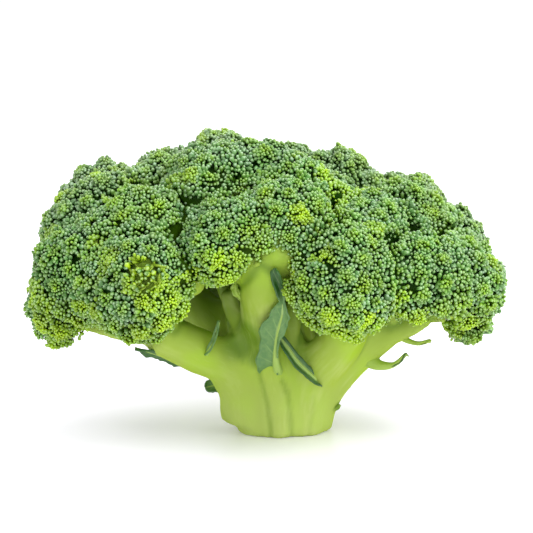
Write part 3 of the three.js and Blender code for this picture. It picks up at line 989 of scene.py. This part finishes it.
# Clusters: how their crowns are found on a floret's solid, and how large and grey one is against the next.
clusterShape = {
    "reach": 6.5,  # a crown stands out from the corners this near, in mm
    "rise": 0.2,  # by at least this
    "gap": 6.4,  # least distance between two crowns
    "scale": (0.86, 1.1),
    "bloom": (0.45, 1.0),
    "backHaze": 0.3,  # more grey at the back, as painted light and haze, full this far behind the middle, in mm
    "backDepth": 30,
}


# The crowns of a floret's clusters: the corners that stand out furthest, none close to another.
def clusterCrowns(bm):
    look = clusterShape
    bm.normal_update()
    bm.verts.ensure_lookup_table()
    tree = treeOf([vert.co for vert in bm.verts])
    standing = []
    for vert in bm.verts:
        around = tree.find_range(vert.co, look["reach"] * mm)
        middle = sum((found[0] for found in around), Vector()) / len(around)
        standing.append(((vert.co - middle).dot(vert.normal), vert.index))
    standing.sort(reverse=True)
    crowns = []
    gap = look["gap"] * mm
    for rise, index in standing:
        vert = bm.verts[index]
        if rise > look["rise"] * mm and all((vert.co - other).length > gap for other in crowns):
            crowns.append(vert.co.copy())
    return crowns


# How far up its floret a place is, from -1 at the stem to 1 at the top.
def levelOf(place, floret):
    return (place - floret["middle"]).normalized().dot(floret["axis"])


# How far a place is inside one of the bare places, from 0 to 1.
def bareAt(place):
    return max(0, *(1 - (place - metres(spot)).length / (reach * mm) for spot, reach in budPlan["bare"]))


# How far a place is above the edge of the buds, among the florets that reach it.
def aboveHem(place):
    look = budPlan
    levels = [-1.0]
    radii, more = look["hemReach"]
    for name, floret in florets.items():
        if (place - floret["middle"]).length < radii * floret["radius"] + more * mm:
            levels.append(levelOf(place, floret) - look["lowestOn"].get(name, look["lowest"]))
    return max(levels) - look["bareDepth"] * bareAt(place)


openView = {"start": 0.6, "reach": 80, "slants": 6, "up": 0.6, "aside": 0.8}  # start and reach in mm


# Whether light reaches a place, straight from outside or on one of the ways aslant.
def openPlace(place, outward, obstacles):
    look = openView
    start = place + outward * look["start"] * mm
    if obstacles.ray_cast(start, outward, look["reach"] * mm)[0] is None:
        return True
    side = outward.orthogonal().normalized()
    other = outward.cross(side)
    for number in range(look["slants"]):
        turn = number * math.tau / look["slants"]
        aside = side * look["aside"] * math.cos(turn) + other * look["aside"] * math.sin(turn)
        if obstacles.ray_cast(start, outward * look["up"] + aside, look["reach"] * mm)[0] is None:
            return True
    return False


# The skin's faces that carry buds, each with its corners, their normals and its floret.
def budFaces(skin, shells, owners, obstacles):
    found = []
    for face in skin.faces:
        middle = face.calc_center_median()
        owner = owners[shells.find_nearest(middle)[2]]
        hem = budPlan["hem"] * noise.noise(middle * budPlan["hemScale"])
        if aboveHem(middle) < hem or not openPlace(middle, face.normal, obstacles):
            continue
        corners = [face.verts[k] for k in (0, 1, -1, -2)]
        found.append((owner, *[c.co.copy() for c in corners], *[c.normal.copy() for c in corners]))
    return found


# How yellow buds are: in broad patches, low on a floret, and here and there a whole cluster.
youthPlan = {
    "patchScale": 42,  # 1 / m
    "patchShift": (3.1, 0.4, 7.7),
    "patchNoise": (0.1, 0.5),
    "patchShare": 0.2,
    "lowLevels": (-0.1, 0.6),
    "lowShare": 0.95,
    "lowLeast": 0.4,  # share of it that every low cluster has
    "rareFrom": 0.94,
    "rareShare": 0.55,
    "spotEdge": (0.5, 1.25),  # a young spot is full and ends at these shares of its radius
}
# Young yellow-green clusters that stand out: x, y, z and radius in mm, and how yellow they are.
youngSpots = [
    (-48.4, -57.7, 73.3, 4.5, 0.9),
    (-45.6, -60.4, 62.7, 4.0, 1.0),
    (-25.3, -56.5, 70.3, 4.0, 1.0),
    (-28.2, -52.9, 75.4, 3.2, 0.9),
    (-8.8, -51.2, 84.8, 3.4, 0.8),
    (-12.4, -53.8, 77.3, 4.2, 0.8),
    (-56.7, -55.7, 61.2, 4.0, 0.8),
    (-76.9, -37, 61.7, 4.0, 0.6),
    (-92.2, -28.4, 54.4, 6.0, 0.75),
    (-88.5, -30.9, 48.2, 7.0, 0.9),
    (-82.8, -33.6, 43.5, 7.0, 0.9),
    (-75.3, -36.6, 49.9, 6.0, 0.8),
    (-66.3, -51.1, 52.5, 5.0, 0.7),
    (-57.3, -54.1, 50.9, 5.0, 0.75),
    (-48.9, -58.6, 47.8, 5.0, 0.8),
    (-40.9, -58, 51.6, 5.5, 0.85),
    (-36.7, -55.3, 59, 4.5, 0.8),
    (-47, -60, 59.8, 4.5, 0.9),
    (16.8, -58, 46, 5.0, 0.8),
    (35.7, -54.3, 50.9, 4.5, 0.7),
    (74.7, -33.1, 55.2, 4.5, 0.6),
    (71.5, -29.3, 45.3, 5.0, 0.7),
    (-23.4, 35.2, 108.9, 5.0, 0.6),
    (-21.6, -24, 100.3, 4.5, 0.5),
    (-7.1, -45.7, 92.9, 4.0, 0.6),
    (6, -49.2, 88, 4.0, 0.8),
    (29, -61.5, 51.9, 4.4, 1.0),
    (41.3, -47.9, 50.5, 5.0, 0.8),
    (31.4, -60.2, 65.5, 4.2, 0.6),
    (65.8, -18.2, 77.1, 4.2, 0.7),
    (62.9, -43.4, 63.1, 4.4, 0.6),
    (77.2, -27.6, 67.1, 4.0, 0.7),
    (78.9, -30.3, 59.1, 4.0, 0.7),
    (25.4, -17.6, 95.5, 3.6, 0.6),
    (15.2, -65, 54.7, 4.0, 0.7),
    (2.8, -56.1, 58.4, 4.0, 0.6),
    (73.5, -23.5, 43.5, 4.6, 0.7),
]


def youthAt(place, level, lot):
    look = youthPlan
    broad = noise.noise(place * look["patchScale"] + Vector(look["patchShift"]))
    patch = look["patchShare"] * smoothstep(*look["patchNoise"], broad)
    low = look["lowShare"] * (1 - smoothstep(*look["lowLevels"], level)) * blend(look["lowLeast"], 1, lot)
    youth = max(patch, low, look["rareShare"] if lot > look["rareFrom"] else 0)
    full, end = look["spotEdge"]
    for x, y, z, radius, strength in youngSpots:
        away = (place - metres((x, y, z))).length / mm
        youth = max(youth, strength * (1 - smoothstep(full * radius, end * radius, away)))
    return youth


# Whether a bud would stand in another one's room.
def isTaken(place, room, cell, grid):
    for i, j, k in itertools.product((-1, 0, 1), repeat=3):
        for other, otherRoom in grid.get((cell[0] + i, cell[1] + j, cell[2] + k), ()):
            if (other - place).length < 0.5 * (room + otherRoom):
                return True
    return False


# Offers every face a bud over and over, and keeps those that have room. A cell of the grid is wider than the
# room of the largest bud, so only the cells around need a look.
def placeBuds(faces, crowns, lots):
    look = budPlan
    tree = treeOf([crown["place"] for crown in crowns])
    cellSize = look["edge"] * 1.2 * mm
    grid = {}
    buds = []
    for _ in range(look["sweeps"]):
        lots.shuffle(faces)
        for owner, a, b, d, c, na, nb, nd, nc in faces:
            u, v = lots.random(), lots.random()
            place = a.lerp(b, u).lerp(d.lerp(c, u), v)
            (_, index, near), (_, _, far) = tree.find_n(place, 2)
            crown = crowns[index]
            share = min(1.0, 2 * near / (near + far))
            youth = crown["youth"] * (1 - look["grownEdge"] * share)
            room = blend(look["middle"], look["edge"], share) * blend(1, look["young"], youth)
            room *= crown["scale"] * mm
            cell = tuple(int(value // cellSize) for value in place)
            if isTaken(place, room, cell, grid):
                continue
            grid.setdefault(cell, []).append((place, room))
            normal = na.lerp(nb, u).lerp(nd.lerp(nc, u), v).normalized()
            buds.append((owner, place, normal, share, youth, room, crown))
    return buds


# A bud is a point that carries what its place on the crown asks for.
def addBud(bm, place, direction, width, tone, youth, lots):
    numbers, vectors = bm.verts.layers.float, bm.verts.layers.float_vector
    bud = bm.verts.new(place)
    axis = direction.normalized()
    bud[vectors["axis"]] = axis
    bud[vectors["side"]] = axis.cross(Vector((lots.gauss(0, 1), lots.gauss(0, 1), lots.gauss(0, 1))))
    flat = lots.uniform(*budPlan["flatness"])
    tall = lots.uniform(*budPlan["heights"])
    bud[vectors["size"]] = Vector((flat, 1 / flat, tall)) * 0.5 * width
    bud[numbers["tone"]] = tone
    bud[numbers["young"]] = youth
    bud[numbers["luck"]] = lots.random()


# A cluster that has opened: its middle, in mm, and how far it is free of buds. Tufts of loose buds stand
# there on thin stems of their own.
openPatch = {
    "middle": (-49.5, -58.4, 68.6),
    "radius": 6.8,
    "ragged": 0.25,  # how uneven that edge is
    "raggedScale": 300,  # 1 / m
    "tufts": 7,
    "tuftsWithin": 0.85,  # share of the radius that they stand in
    "stems": 49,
    "rootDepth": 2.6,  # mm, as are the next four
    "length": (1.4, 3.0),
    "spread": 2.1,
    "stemRadii": (0.54, 0.36, 0.324),
    "budWidth": (1.0, 2.2),
    "tone": 0.4,
    "youth": 1.0,
    "stemFinish": {"tip": 0.6, "young": 0.8, "flesh": 0.5},
    "floret": "left_front",
}


# How near a place on a floret is to the crease between its head and the next one, from 0 to 1.
def creaseAt(place, owner):
    own = florets[owner]
    outside = (place - own["middle"]).length - own["radius"]
    least = 1.0
    for floret in florets.values():
        if floret["head"] != own["head"]:
            least = min(least, (place - floret["middle"]).length - floret["radius"] - outside)
    return 1 - fade(0, budPlan["creaseWidth"], least)


def budPoints(buds, lots):
    look = budPlan
    points = {}
    patch = metres(openPatch["middle"])
    for name in florets:
        points[name] = bmesh.new()
        addLayers(points[name], ("tone", "young", "luck"), ("axis", "side", "size"))
    for owner, place, normal, share, youth, room, crown in buds:
        ragged = 1 + openPatch["ragged"] * noise.noise(place * openPatch["raggedScale"])
        if (place - patch).length < openPatch["radius"] * ragged * mm:
            continue
        clump = noise.noise(place * look["clumpScale"])
        if share > look["pitsFrom"] and clump < look["pits"]:
            continue
        width = room * look["fill"] * lots.uniform(1 - look["uneven"], 1 + look["uneven"])
        rise = look["crownRise"] * (0.5 - share**2) + look["clumpRise"] * clump
        rise += lots.gauss(0, look["ragged"])
        rise -= look["lower"].get(owner, 0) + look["creaseDepth"] * creaseAt(place, owner)
        outward = place - crown["place"]
        outward -= normal * outward.dot(normal)
        lean = outward / (look["fanReach"] * mm) * look["fan"] * share
        lean += Vector((lots.gauss(0, 1), lots.gauss(0, 1), lots.gauss(0, 1))) * look["sway"]
        tone = crown["bloom"] * share**1.1 * blend(1, look["youngBloom"], youth)
        yellow = min(1.0, youth + look["yellowMiddle"] * (1 - share) ** 1.5)
        seat = place + normal * (rise - look["sink"]) * mm
        addBud(points[owner], seat, normal + lean, width, tone, yellow, lots)
    return points


# Adds the loose buds of the opened cluster, and gives the lines of their stems.
def looseBuds(points, skinTree, lots):
    look = openPatch
    middle, normal = skinTree.find_nearest(metres(look["middle"]))[:2]
    side = normal.orthogonal().normalized()
    other = normal.cross(side)
    bm = points[look["floret"]]
    radii = [radius * mm for radius in look["stemRadii"]]
    lines, roots = [], []
    for number in range(look["tufts"]):
        away = look["radius"] * look["tuftsWithin"] * math.sqrt((number + 0.3) / look["tufts"])
        turn = number * goldenAngle
        outward = side * math.cos(turn) + other * math.sin(turn)
        roots.append(middle + (outward * away - normal * look["rootDepth"]) * mm)
    for number in range(look["stems"]):
        root = roots[number % len(roots)]
        lean = (side * lots.gauss(0, 1) + other * lots.gauss(0, 1)) * look["spread"]
        tip = root + (normal * lots.uniform(*look["length"]) + lean) * mm
        bend = root.lerp(tip, 0.5) + lean * 0.3 * mm
        lines.append(([root, bend, tip], radii))
        width = lots.uniform(*look["budWidth"]) * mm
        addBud(bm, tip, tip - bend, width, look["tone"], look["youth"] * lots.random(), lots)
    return lines


def looseStems(lines):
    look = openPatch
    thin = stemTubes(lines, steps=5, sides=0)
    numbers, _ = addLayers(thin, look["stemFinish"])
    for vert in thin.verts:
        for layer, value in look["stemFinish"].items():
            vert[numbers[layer]] = value
    return thin


# The florets' own solids and their clusters, each with its place, how young and large it is, and its bloom.
def coresAndCrowns(lots):
    look = clusterShape
    cores, crowns = {}, []
    for name, floret in florets.items():
        cores[name] = mergedCopy(floret["node"])
        for place in clusterCrowns(cores[name]):
            youth = youthAt(place, levelOf(place, floret), lots.random())
            scale = lots.uniform(*look["scale"])
            # grey bloom, with painted light and haze added at the back
            bloom = lots.uniform(*look["bloom"]) + look["backHaze"] * fade(0, look["backDepth"], place.y)
            crowns.append({"place": place, "youth": youth, "floret": name, "scale": scale, "bloom": bloom})
    return cores, crowns


coreShape = {
    "depth": 2.6,  # how far a floret's solid lies under the buds, on its underside and at bare places, in mm
    "underDepth": 1.2,
    "bareDepth": 6,
    "underFrom": -0.22,  # where that underside begins, against the edge of the buds
    "patchReach": 1.1,  # the solid is fleshy in the opened cluster
    "patchFlesh": 0.3,
    "lot": 0.6,  # stands in for the number that a cluster draws for how young it is
}


# The floret's solid, drawn in until it lies under the buds. Where it presses on a neighbour it stays.
def sinkCore(bm, floret, skinTree):
    look = coreShape
    patch = metres(openPatch["middle"])
    patchReach = look["patchReach"] * openPatch["radius"] * mm
    bmesh.ops.subdivide_edges(bm, edges=bm.edges, cuts=1, use_grid_fill=True)
    layers, _ = addLayers(bm, ("tip", "young", "luck", "tone", "flesh"))
    tip, flesh, young = layers["tip"], layers["flesh"], layers["young"]
    for vert in bm.verts:
        vert[young] = youthAt(vert.co, levelOf(vert.co, floret), look["lot"])
        under = 1 - smoothstep(look["underFrom"], 0, aboveHem(vert.co))
        opened = look["patchFlesh"] if (vert.co - patch).length < patchReach else 0
        vert[flesh] = max(under, opened)
        # the solid under the buds takes the painted shade of the gaps
        vert[tip] = -1
        depth = (blend(look["depth"], look["underDepth"], under) + look["bareDepth"] * bareAt(vert.co)) * mm
        place, normal, _, away = skinTree.find_nearest(vert.co)
        outside = (vert.co - place).dot(normal) > 0
        if outside or away < depth:
            vert.co = place - normal * depth


# A mesh of copies of the bud, one for each point.
def scatteredBuds(points, group):
    holder = meshObject("budHolder", points)
    holder.modifiers.new("scatter", "NODES").node_group = group
    scattered = evaluatedMesh(holder)
    dropObject(holder)
    return scattered


def buildFlorets():
    lots = random.Random(23)
    together, owners = joinedFlorets()
    shells = BVHTree.FromBMesh(together)
    skin = crownSkin(together)
    together.free()
    skinTree = BVHTree.FromBMesh(skin)
    around = skin.copy()
    around.from_mesh(nodes["stalk"].data)
    obstacles = BVHTree.FromBMesh(around)
    around.free()
    cores, crowns = coresAndCrowns(lots)
    for middle, radius in skinShape["fillers"]:
        nearest = owners[shells.find_nearest(metres(middle))[2]]
        addBall(cores[nearest], metres(middle), (radius - skinShape["fillerDepth"]) * mm)
    faces = budFaces(skin, shells, owners, obstacles)
    skin.free()
    print("skin ready:", len(faces), "faces,", len(crowns), "clusters")
    buds = placeBuds(faces, crowns, lots)
    points = budPoints(buds, lots)
    looseLines = looseBuds(points, skinTree, lots)
    template = budTemplate()
    group = scatterGroup(template)
    for name, floret in florets.items():
        scattered = scatteredBuds(points[name], group)
        whole = cores[name]
        sinkCore(whole, floret, skinTree)
        whole.from_mesh(scattered)
        bpy.data.meshes.remove(scattered)
        if name == openPatch["floret"]:
            pourInto(whole, looseStems(looseLines))
        vectors = whole.verts.layers.float_vector
        for layer in ("axis", "side", "size"):  # used up by the scattering
            if vectors.get(layer):
                vectors.remove(vectors[layer])
        piece = meshObject(pieceName(floret["node"]), whole)
        piece.data.materials.append(budSkin)
        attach(piece, "root")
        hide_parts(floret["node"])
    dropObject(template)
    bpy.data.node_groups.remove(group)
    print("florets ready:", len(florets), "with", len(buds), "buds")
    return crowns


crowns = buildFlorets()

# Stems from each floret's seat to its lower clusters, which show from below and from the sides.
stemShape = {
    "highest": 0.5,  # how far up its floret a cluster with a stem may be
    "seat": 0.6,  # how far down the stem starts, as a share of the floret's radius
    "under": 2.6,  # how far under its cluster it ends, and how far it sags, in mm
    "sag": 1.6,
    "radii": (1.9, 1.35, 1.0),
    "grain": 0.3,
    # painted shade and the greener colour of the stems under the heads
    "deep": 0.4,
}


def buildFloretStems():
    look = stemShape
    radii = [radius * mm for radius in look["radii"]]
    lines = []
    for crown in crowns:
        floret = florets[crown["floret"]]
        if levelOf(crown["place"], floret) > look["highest"]:
            continue
        seat = floret["middle"] - floret["axis"] * floret["radius"] * look["seat"]
        outward = (crown["place"] - floret["middle"]).normalized()
        tip = crown["place"] - outward * look["under"] * mm
        bend = seat.lerp(tip, 0.55) - floret["axis"] * look["sag"] * mm
        lines.append(([seat, bend, tip], radii))
    bm = stemTubes(lines)
    grain, deep, _, _ = stalkLayers(bm)
    for vert in bm.verts:
        vert[grain] = vert.co / mm * look["grain"]
        vert[deep] = look["deep"]
    piece = meshObject("floretStems", bm)
    piece.data.materials.append(stalkSkin)
    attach(piece, "root")
    print("floret stems ready:", len(lines))


buildFloretStems()

# The small leaves, in mm. Each has its midrib's points from the stalk out, the reach of its blade on the left
# and right of it (both alike where only left is given), how deep the blade folds along it, how far its edge
# waves, how deep that edge is cut, and the way that its upper face looks. Then come where the midrib starts
# in the stalk, the midrib's radii, and how dark (its own deeper green, with painted shade on leaves that lie
# in shade under the heads), fleshy and dark-edged the blade is and how far its pale band spreads. Sweep is how
# far a blade hangs back at the stalk, ribbed is how many points the midrib follows before it sinks in the
# blade, and the last is how much painted shade darkens the blade towards its tip, where it runs in under the
# heads.
leafShape = {
    "rows": 44,
    "columns": 14,
    "thickness": 0.6,
    "crimp": 0.35,
    "waves": 19,  # along the blade, as the cuts in its edge are
    "cuts": (31, 67),
    "narrowest": 0.3,
    "rounded": 0.07,  # the last share of the blade, which narrows to a round tip
    "roundness": 0.95,
    "tipShadeFrom": 0.74,
    "tipShadeTo": 0.86,
    "sweep": 0,
    "ribbed": None,
    "hood": 0,
    "stemmy": 0.0,
    "edge": 0.0,
    "band": 0.03,
}
leaves = {
    "leaf_front": {
        "rib": [(-2, -22, 27), (-2.8, -27.5, 33), (-2.3, -32, 42),
                (-0.4, -38, 51), (-0.8, -46, 59.5), (-2.9, -53, 70)],
        "left": (8.6, 7.4, 6.6, 6.2, 6.2, 4.2, 1.1, 1.7, 3.8),
        "right": (0.5, 0.9, 1.2, 1.8, 3, 3.4, 0.9, 1.2, 2.6),
        "fold": 1.4, "wave": 1.1, "notch": 0.07, "sweep": 6.5, "facing": (-0.2, -1, 0.1),
        "foot": (-1, -15, 24), "midrib": (2.4, 1.9, 1.2, 0.6, 0.3), "ribbed": 4,
        "dark": 0.12, "band": 0.04, "hood": 0.88,
    },
    "leaf_crossing": {
        "rib": [(14, -18, 21), (11, -24, 25), (5.5, -27, 31), (-2, -27.5, 41.5)],
        "left": (1.6, 2.6, 2.9, 2.9, 2.8, 2.0),
        "right": (1.0, 1.6, 1.9, 2.0, 1.8, 1.2),
        "fold": 1.0, "wave": 0.2, "notch": 0.03, "facing": (0.3, -0.9, 0.6),
        "foot": (17, -12, 18), "midrib": (1.2, 0.9, 0.7, 0.6, 0.4),
        "dark": 0.6, "edge": 0.8, "band": 0.34,
    },
    "leaf_left": {
        "rib": [(-28, -20, 30), (-28, -26, 34), (-25, -29, 39.5), (-23.2, -30, 47)],
        "left": (0.3, 0.5, 1.0, 1.6, 1.4, 0.3),
        "right": (0.3, 0.5, 1.0, 1.4, 0.9, 0.3),
        "fold": 0.7, "wave": 0.4, "notch": 0.08, "facing": (-0.9, -0.6, 0.3),
        "foot": (-27, -15, 27), "midrib": (1.2, 0.9, 0.7, 0.5, 0.3),
        "dark": 0.15, "stemmy": 0.1, "edge": 0.3,
    },
    "leaf_under_left": {
        "rib": [(-31, -17, 31), (-36, -21, 29.3), (-44, -26, 33), (-54, -31, 37.2)],
        "left": (0.8, 1.8, 2.2, 2.6, 2.8, 0.4),
        "fold": 0.8, "wave": 0.5, "notch": 0.2, "facing": (-0.3, -0.8, -0.9),
        "foot": (-28, -15, 31), "midrib": (1.4, 1.1, 0.9, 0.5, 0.3),
        "dark": 0.85, "band": 0.0,
    },
    "leaf_right_low": {
        "rib": [(31, -14, 30), (35.5, -17, 28), (41, -19, 28.6), (45.2, -20, 33)],
        "left": (1.0, 1.2, 0.8, 0.6, 0.5, 0.3),
        "fold": 0.4, "wave": 0.2, "notch": 0.05, "facing": (-0.3, -0.2, 1),
        "foot": (26, -10, 31), "midrib": (4.2, 3.9, 2.1, 1.0, 0.45),
        "dark": 0.7, "stemmy": 0.75, "edge": 0.9,
    },
    "leaf_right_high": {
        "rib": [(42, -17, 41), (45, -19, 38), (49.5, -21, 37), (54, -22, 38.5)],
        "left": (0.5, 0.6, 0.5, 0.4, 0.4, 0.3),
        "fold": 0.3, "wave": 0.1, "notch": 0.03, "facing": (0, -0.2, 1),
        "foot": (38, -14, 43), "midrib": (3.2, 2.8, 1.3, 0.75, 0.35),
        "dark": 0.3, "stemmy": 0.95, "edge": 0.1,
    },
    "leaf_stem": {
        "rib": [(-12, -25, 53), (-16, -29, 56), (-17.5, -30, 59), (-17, -30, 62)],
        "left": (0.4, 1.2, 1.7, 1.7, 1.2, 0.4),
        "fold": 0.6, "wave": 0.4, "notch": 0.08, "facing": (-0.5, -0.9, 0.2),
        "foot": (-8, -23, 51), "midrib": (1.6, 1.2, 0.9, 0.6, 0.4),
        "dark": 0.2, "stemmy": 0.9, "edge": 0.1,
    },
    "leaf_rear": {
        "rib": [(-12, 14, 15), (-18, 17, 14.2), (-24.5, 19, 13), (-30, 19.5, 11.6)],
        "left": (1.6, 2.6, 3.0, 3.1, 3.0, 2.0),
        "fold": 1.0, "wave": 0.4, "notch": 0.05, "facing": (-0.2, -1, 0.5),
        "foot": (-9, 10, 18), "midrib": (1.6, 1.2, 0.9, 0.6, 0.3),
        "dark": 0.2,
    },
}
leafLayers = ("along", "across", "dark", "stemmy", "edge", "band")


# How far a blade reaches from its midrib, with a cut edge and a rounded tip.
def bladeReach(look, side, along, phase):
    broad, narrow = look["cuts"]
    notches = 1 + look["notch"] * (math.sin(broad * along) + 0.6 * math.sin(narrow * along + phase))
    reach = max(look["narrowest"], numberAlong(look.get(side, look["left"]), along) * notches)
    tip = max(0, along / look["rounded"] - 1 / look["rounded"] + 1)  # from 0 to 1 along the rounded end
    return reach * math.sqrt(1 - look["roundness"] * tip**2)


# Lays the flat grid along the midrib: out runs from -1 at one edge of the blade to 1 at the other.
def shapeBlade(bm, look, layers, phase):
    rib = [Vector(p) for p in look["rib"]]
    for vert in bm.verts:
        along, out = vert.co.x + 0.5, 2 * vert.co.y
        here = routePoint(rib, along)
        ahead, behind = routePoint(rib, min(1, along + 0.02)), routePoint(rib, max(0, along - 0.02))
        forward = (ahead - behind).normalized()
        across = forward.cross(Vector(look["facing"])).normalized()
        up = across.cross(forward).normalized()
        wave = look["wave"] * math.sin(look["waves"] * along + 2 * out)
        crimp = look["crimp"] * noise.noise(Vector((9 * along, 3 * out, phase))) * abs(out)
        lift = (look["fold"] + wave) * out**2 + crimp
        reach = bladeReach(look, "left" if out < 0 else "right", along, phase)
        back = look["sweep"] * max(0, -out) ** 1.5 * (1 - along) ** 2
        vert.co = (here + across * out * reach - forward * back + up * (lift - look["thickness"] / 2)) * mm
        vert[layers["along"]] = along
        vert[layers["across"]] = abs(out)


def midribOf(look):
    points = [metres(p) for p in (look["foot"], *look["rib"][: look["ribbed"]])]
    midrib = stemTubes([(points, [radius * mm for radius in look["midrib"]])], steps=28, sides=2)
    layers, _ = addLayers(midrib, leafLayers)
    for vert in midrib.verts:
        vert[layers["stemmy"]] = 0.5 + 0.5 * look["stemmy"]
    return midrib


def buildLeaf(nodeName, leaf):
    look = {**leafShape, **leaf}
    bm = bmesh.new()
    layers, _ = addLayers(bm, leafLayers)
    bmesh.ops.create_grid(bm, x_segments=look["rows"], y_segments=look["columns"], size=0.5)
    shapeBlade(bm, look, layers, len(nodeName))
    bmesh.ops.recalc_face_normals(bm, faces=bm.faces)
    bmesh.ops.solidify(bm, geom=bm.faces, thickness=look["thickness"] * mm)
    bmesh.ops.recalc_face_normals(bm, faces=bm.faces)
    for vert in bm.verts:
        # painted shade: the blade darkens towards its tip, where it runs in under the heads
        hood = look["hood"] * smoothstep(look["tipShadeFrom"], look["tipShadeTo"], vert[layers["along"]])
        vert[layers["dark"]] = look["dark"] + hood
        vert[layers["stemmy"]] = look["stemmy"]
        vert[layers["edge"]] = look["edge"]
        vert[layers["band"]] = look["band"] - hood
    pourInto(bm, midribOf(look))
    piece = meshObject(pieceName(nodeName), bm)
    piece.data.materials.append(leafSkin)
    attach(piece, "root")
    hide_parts(nodeName)


for nodeName, leaf in leaves.items():
    buildLeaf(nodeName, leaf)
print("leaves ready:", len(leaves))

# Floor, light and camera, in m and W.
studio = {
    "floorSize": 14.0,
    "floorColour": (0.905, 0.880, 0.965),
    "floorRoughness": 0.35,
    "floorSpecular": 0.25,
    "floorGlow": 0.10,
    "worldStrength": 1.0,
    "lightsAimAt": (0, 0, 0.06),
    # each light's place, power and size
    "lights": {
        "keyLight": ((1.05, -0.75, 1.25), 24, 1.1),
        "fillLight": ((-1.0, -1.3, 0.8), 2.5, 1.8),
        "backLight": ((0.1, 1.1, 1.3), 14, 1.2),
    },
}
viewpoint = {
    "target": (-0.0062, 0, 0.0622),
    "elevation": 9,
    "distance": 0.9,
    "focalPixels": 2400,  # for a picture 533 pixels wide
    "pixelsWide": 533,
    "sensor": 36,
}


def buildFloor():
    bm = bmesh.new()
    bmesh.ops.create_grid(bm, x_segments=1, y_segments=1, size=studio["floorSize"] / 2)
    floor = meshObject("floor", bm)
    material, _, shader = newMaterial("floorPaint")
    shader.inputs["Base Color"].default_value = (*studio["floorColour"], 1)
    shader.inputs["Roughness"].default_value = studio["floorRoughness"]
    shader.inputs["Specular IOR Level"].default_value = studio["floorSpecular"]
    shader.inputs["Emission Color"].default_value = (1, 1, 1, 1)
    shader.inputs["Emission Strength"].default_value = studio["floorGlow"]
    floor.data.materials.append(material)


def aimedAt(place, target):
    forward = Vector(target) - Vector(place)
    return Matrix.Translation(place) @ forward.to_track_quat("-Z", "Y").to_matrix().to_4x4()


def addLight(name, place, power, size):
    light = bpy.data.lights.new(name, "AREA")
    light.shape = "DISK"
    light.size = size
    light.energy = power
    lamp = bpy.data.objects.new(name, light)
    lamp.matrix_world = aimedAt(place, studio["lightsAimAt"])
    scene.collection.objects.link(lamp)


def buildStudio():
    buildFloor()
    world = bpy.data.worlds.new("studioWorld")
    world.use_nodes = True
    background = world.node_tree.nodes["Background"]
    background.inputs["Color"].default_value = (1, 1, 1, 1)
    background.inputs["Strength"].default_value = studio["worldStrength"]
    scene.world = world
    for name, (place, power, size) in studio["lights"].items():
        addLight(name, place, power, size)
    scene.view_settings.view_transform = "Standard"


def buildCamera():
    target = Vector(viewpoint["target"])
    tilt = math.radians(viewpoint["elevation"])
    place = target + Vector((0, -math.cos(tilt), math.sin(tilt))) * viewpoint["distance"]
    data = bpy.data.cameras.new("camera")
    data.sensor_width = viewpoint["sensor"]
    data.lens = viewpoint["sensor"] * viewpoint["focalPixels"] / viewpoint["pixelsWide"]
    camera = bpy.data.objects.new("camera", data)
    camera.matrix_world = aimedAt(place, target)
    scene.collection.objects.link(camera)
    scene.camera = camera


buildStudio()
buildCamera()
print("studio ready")
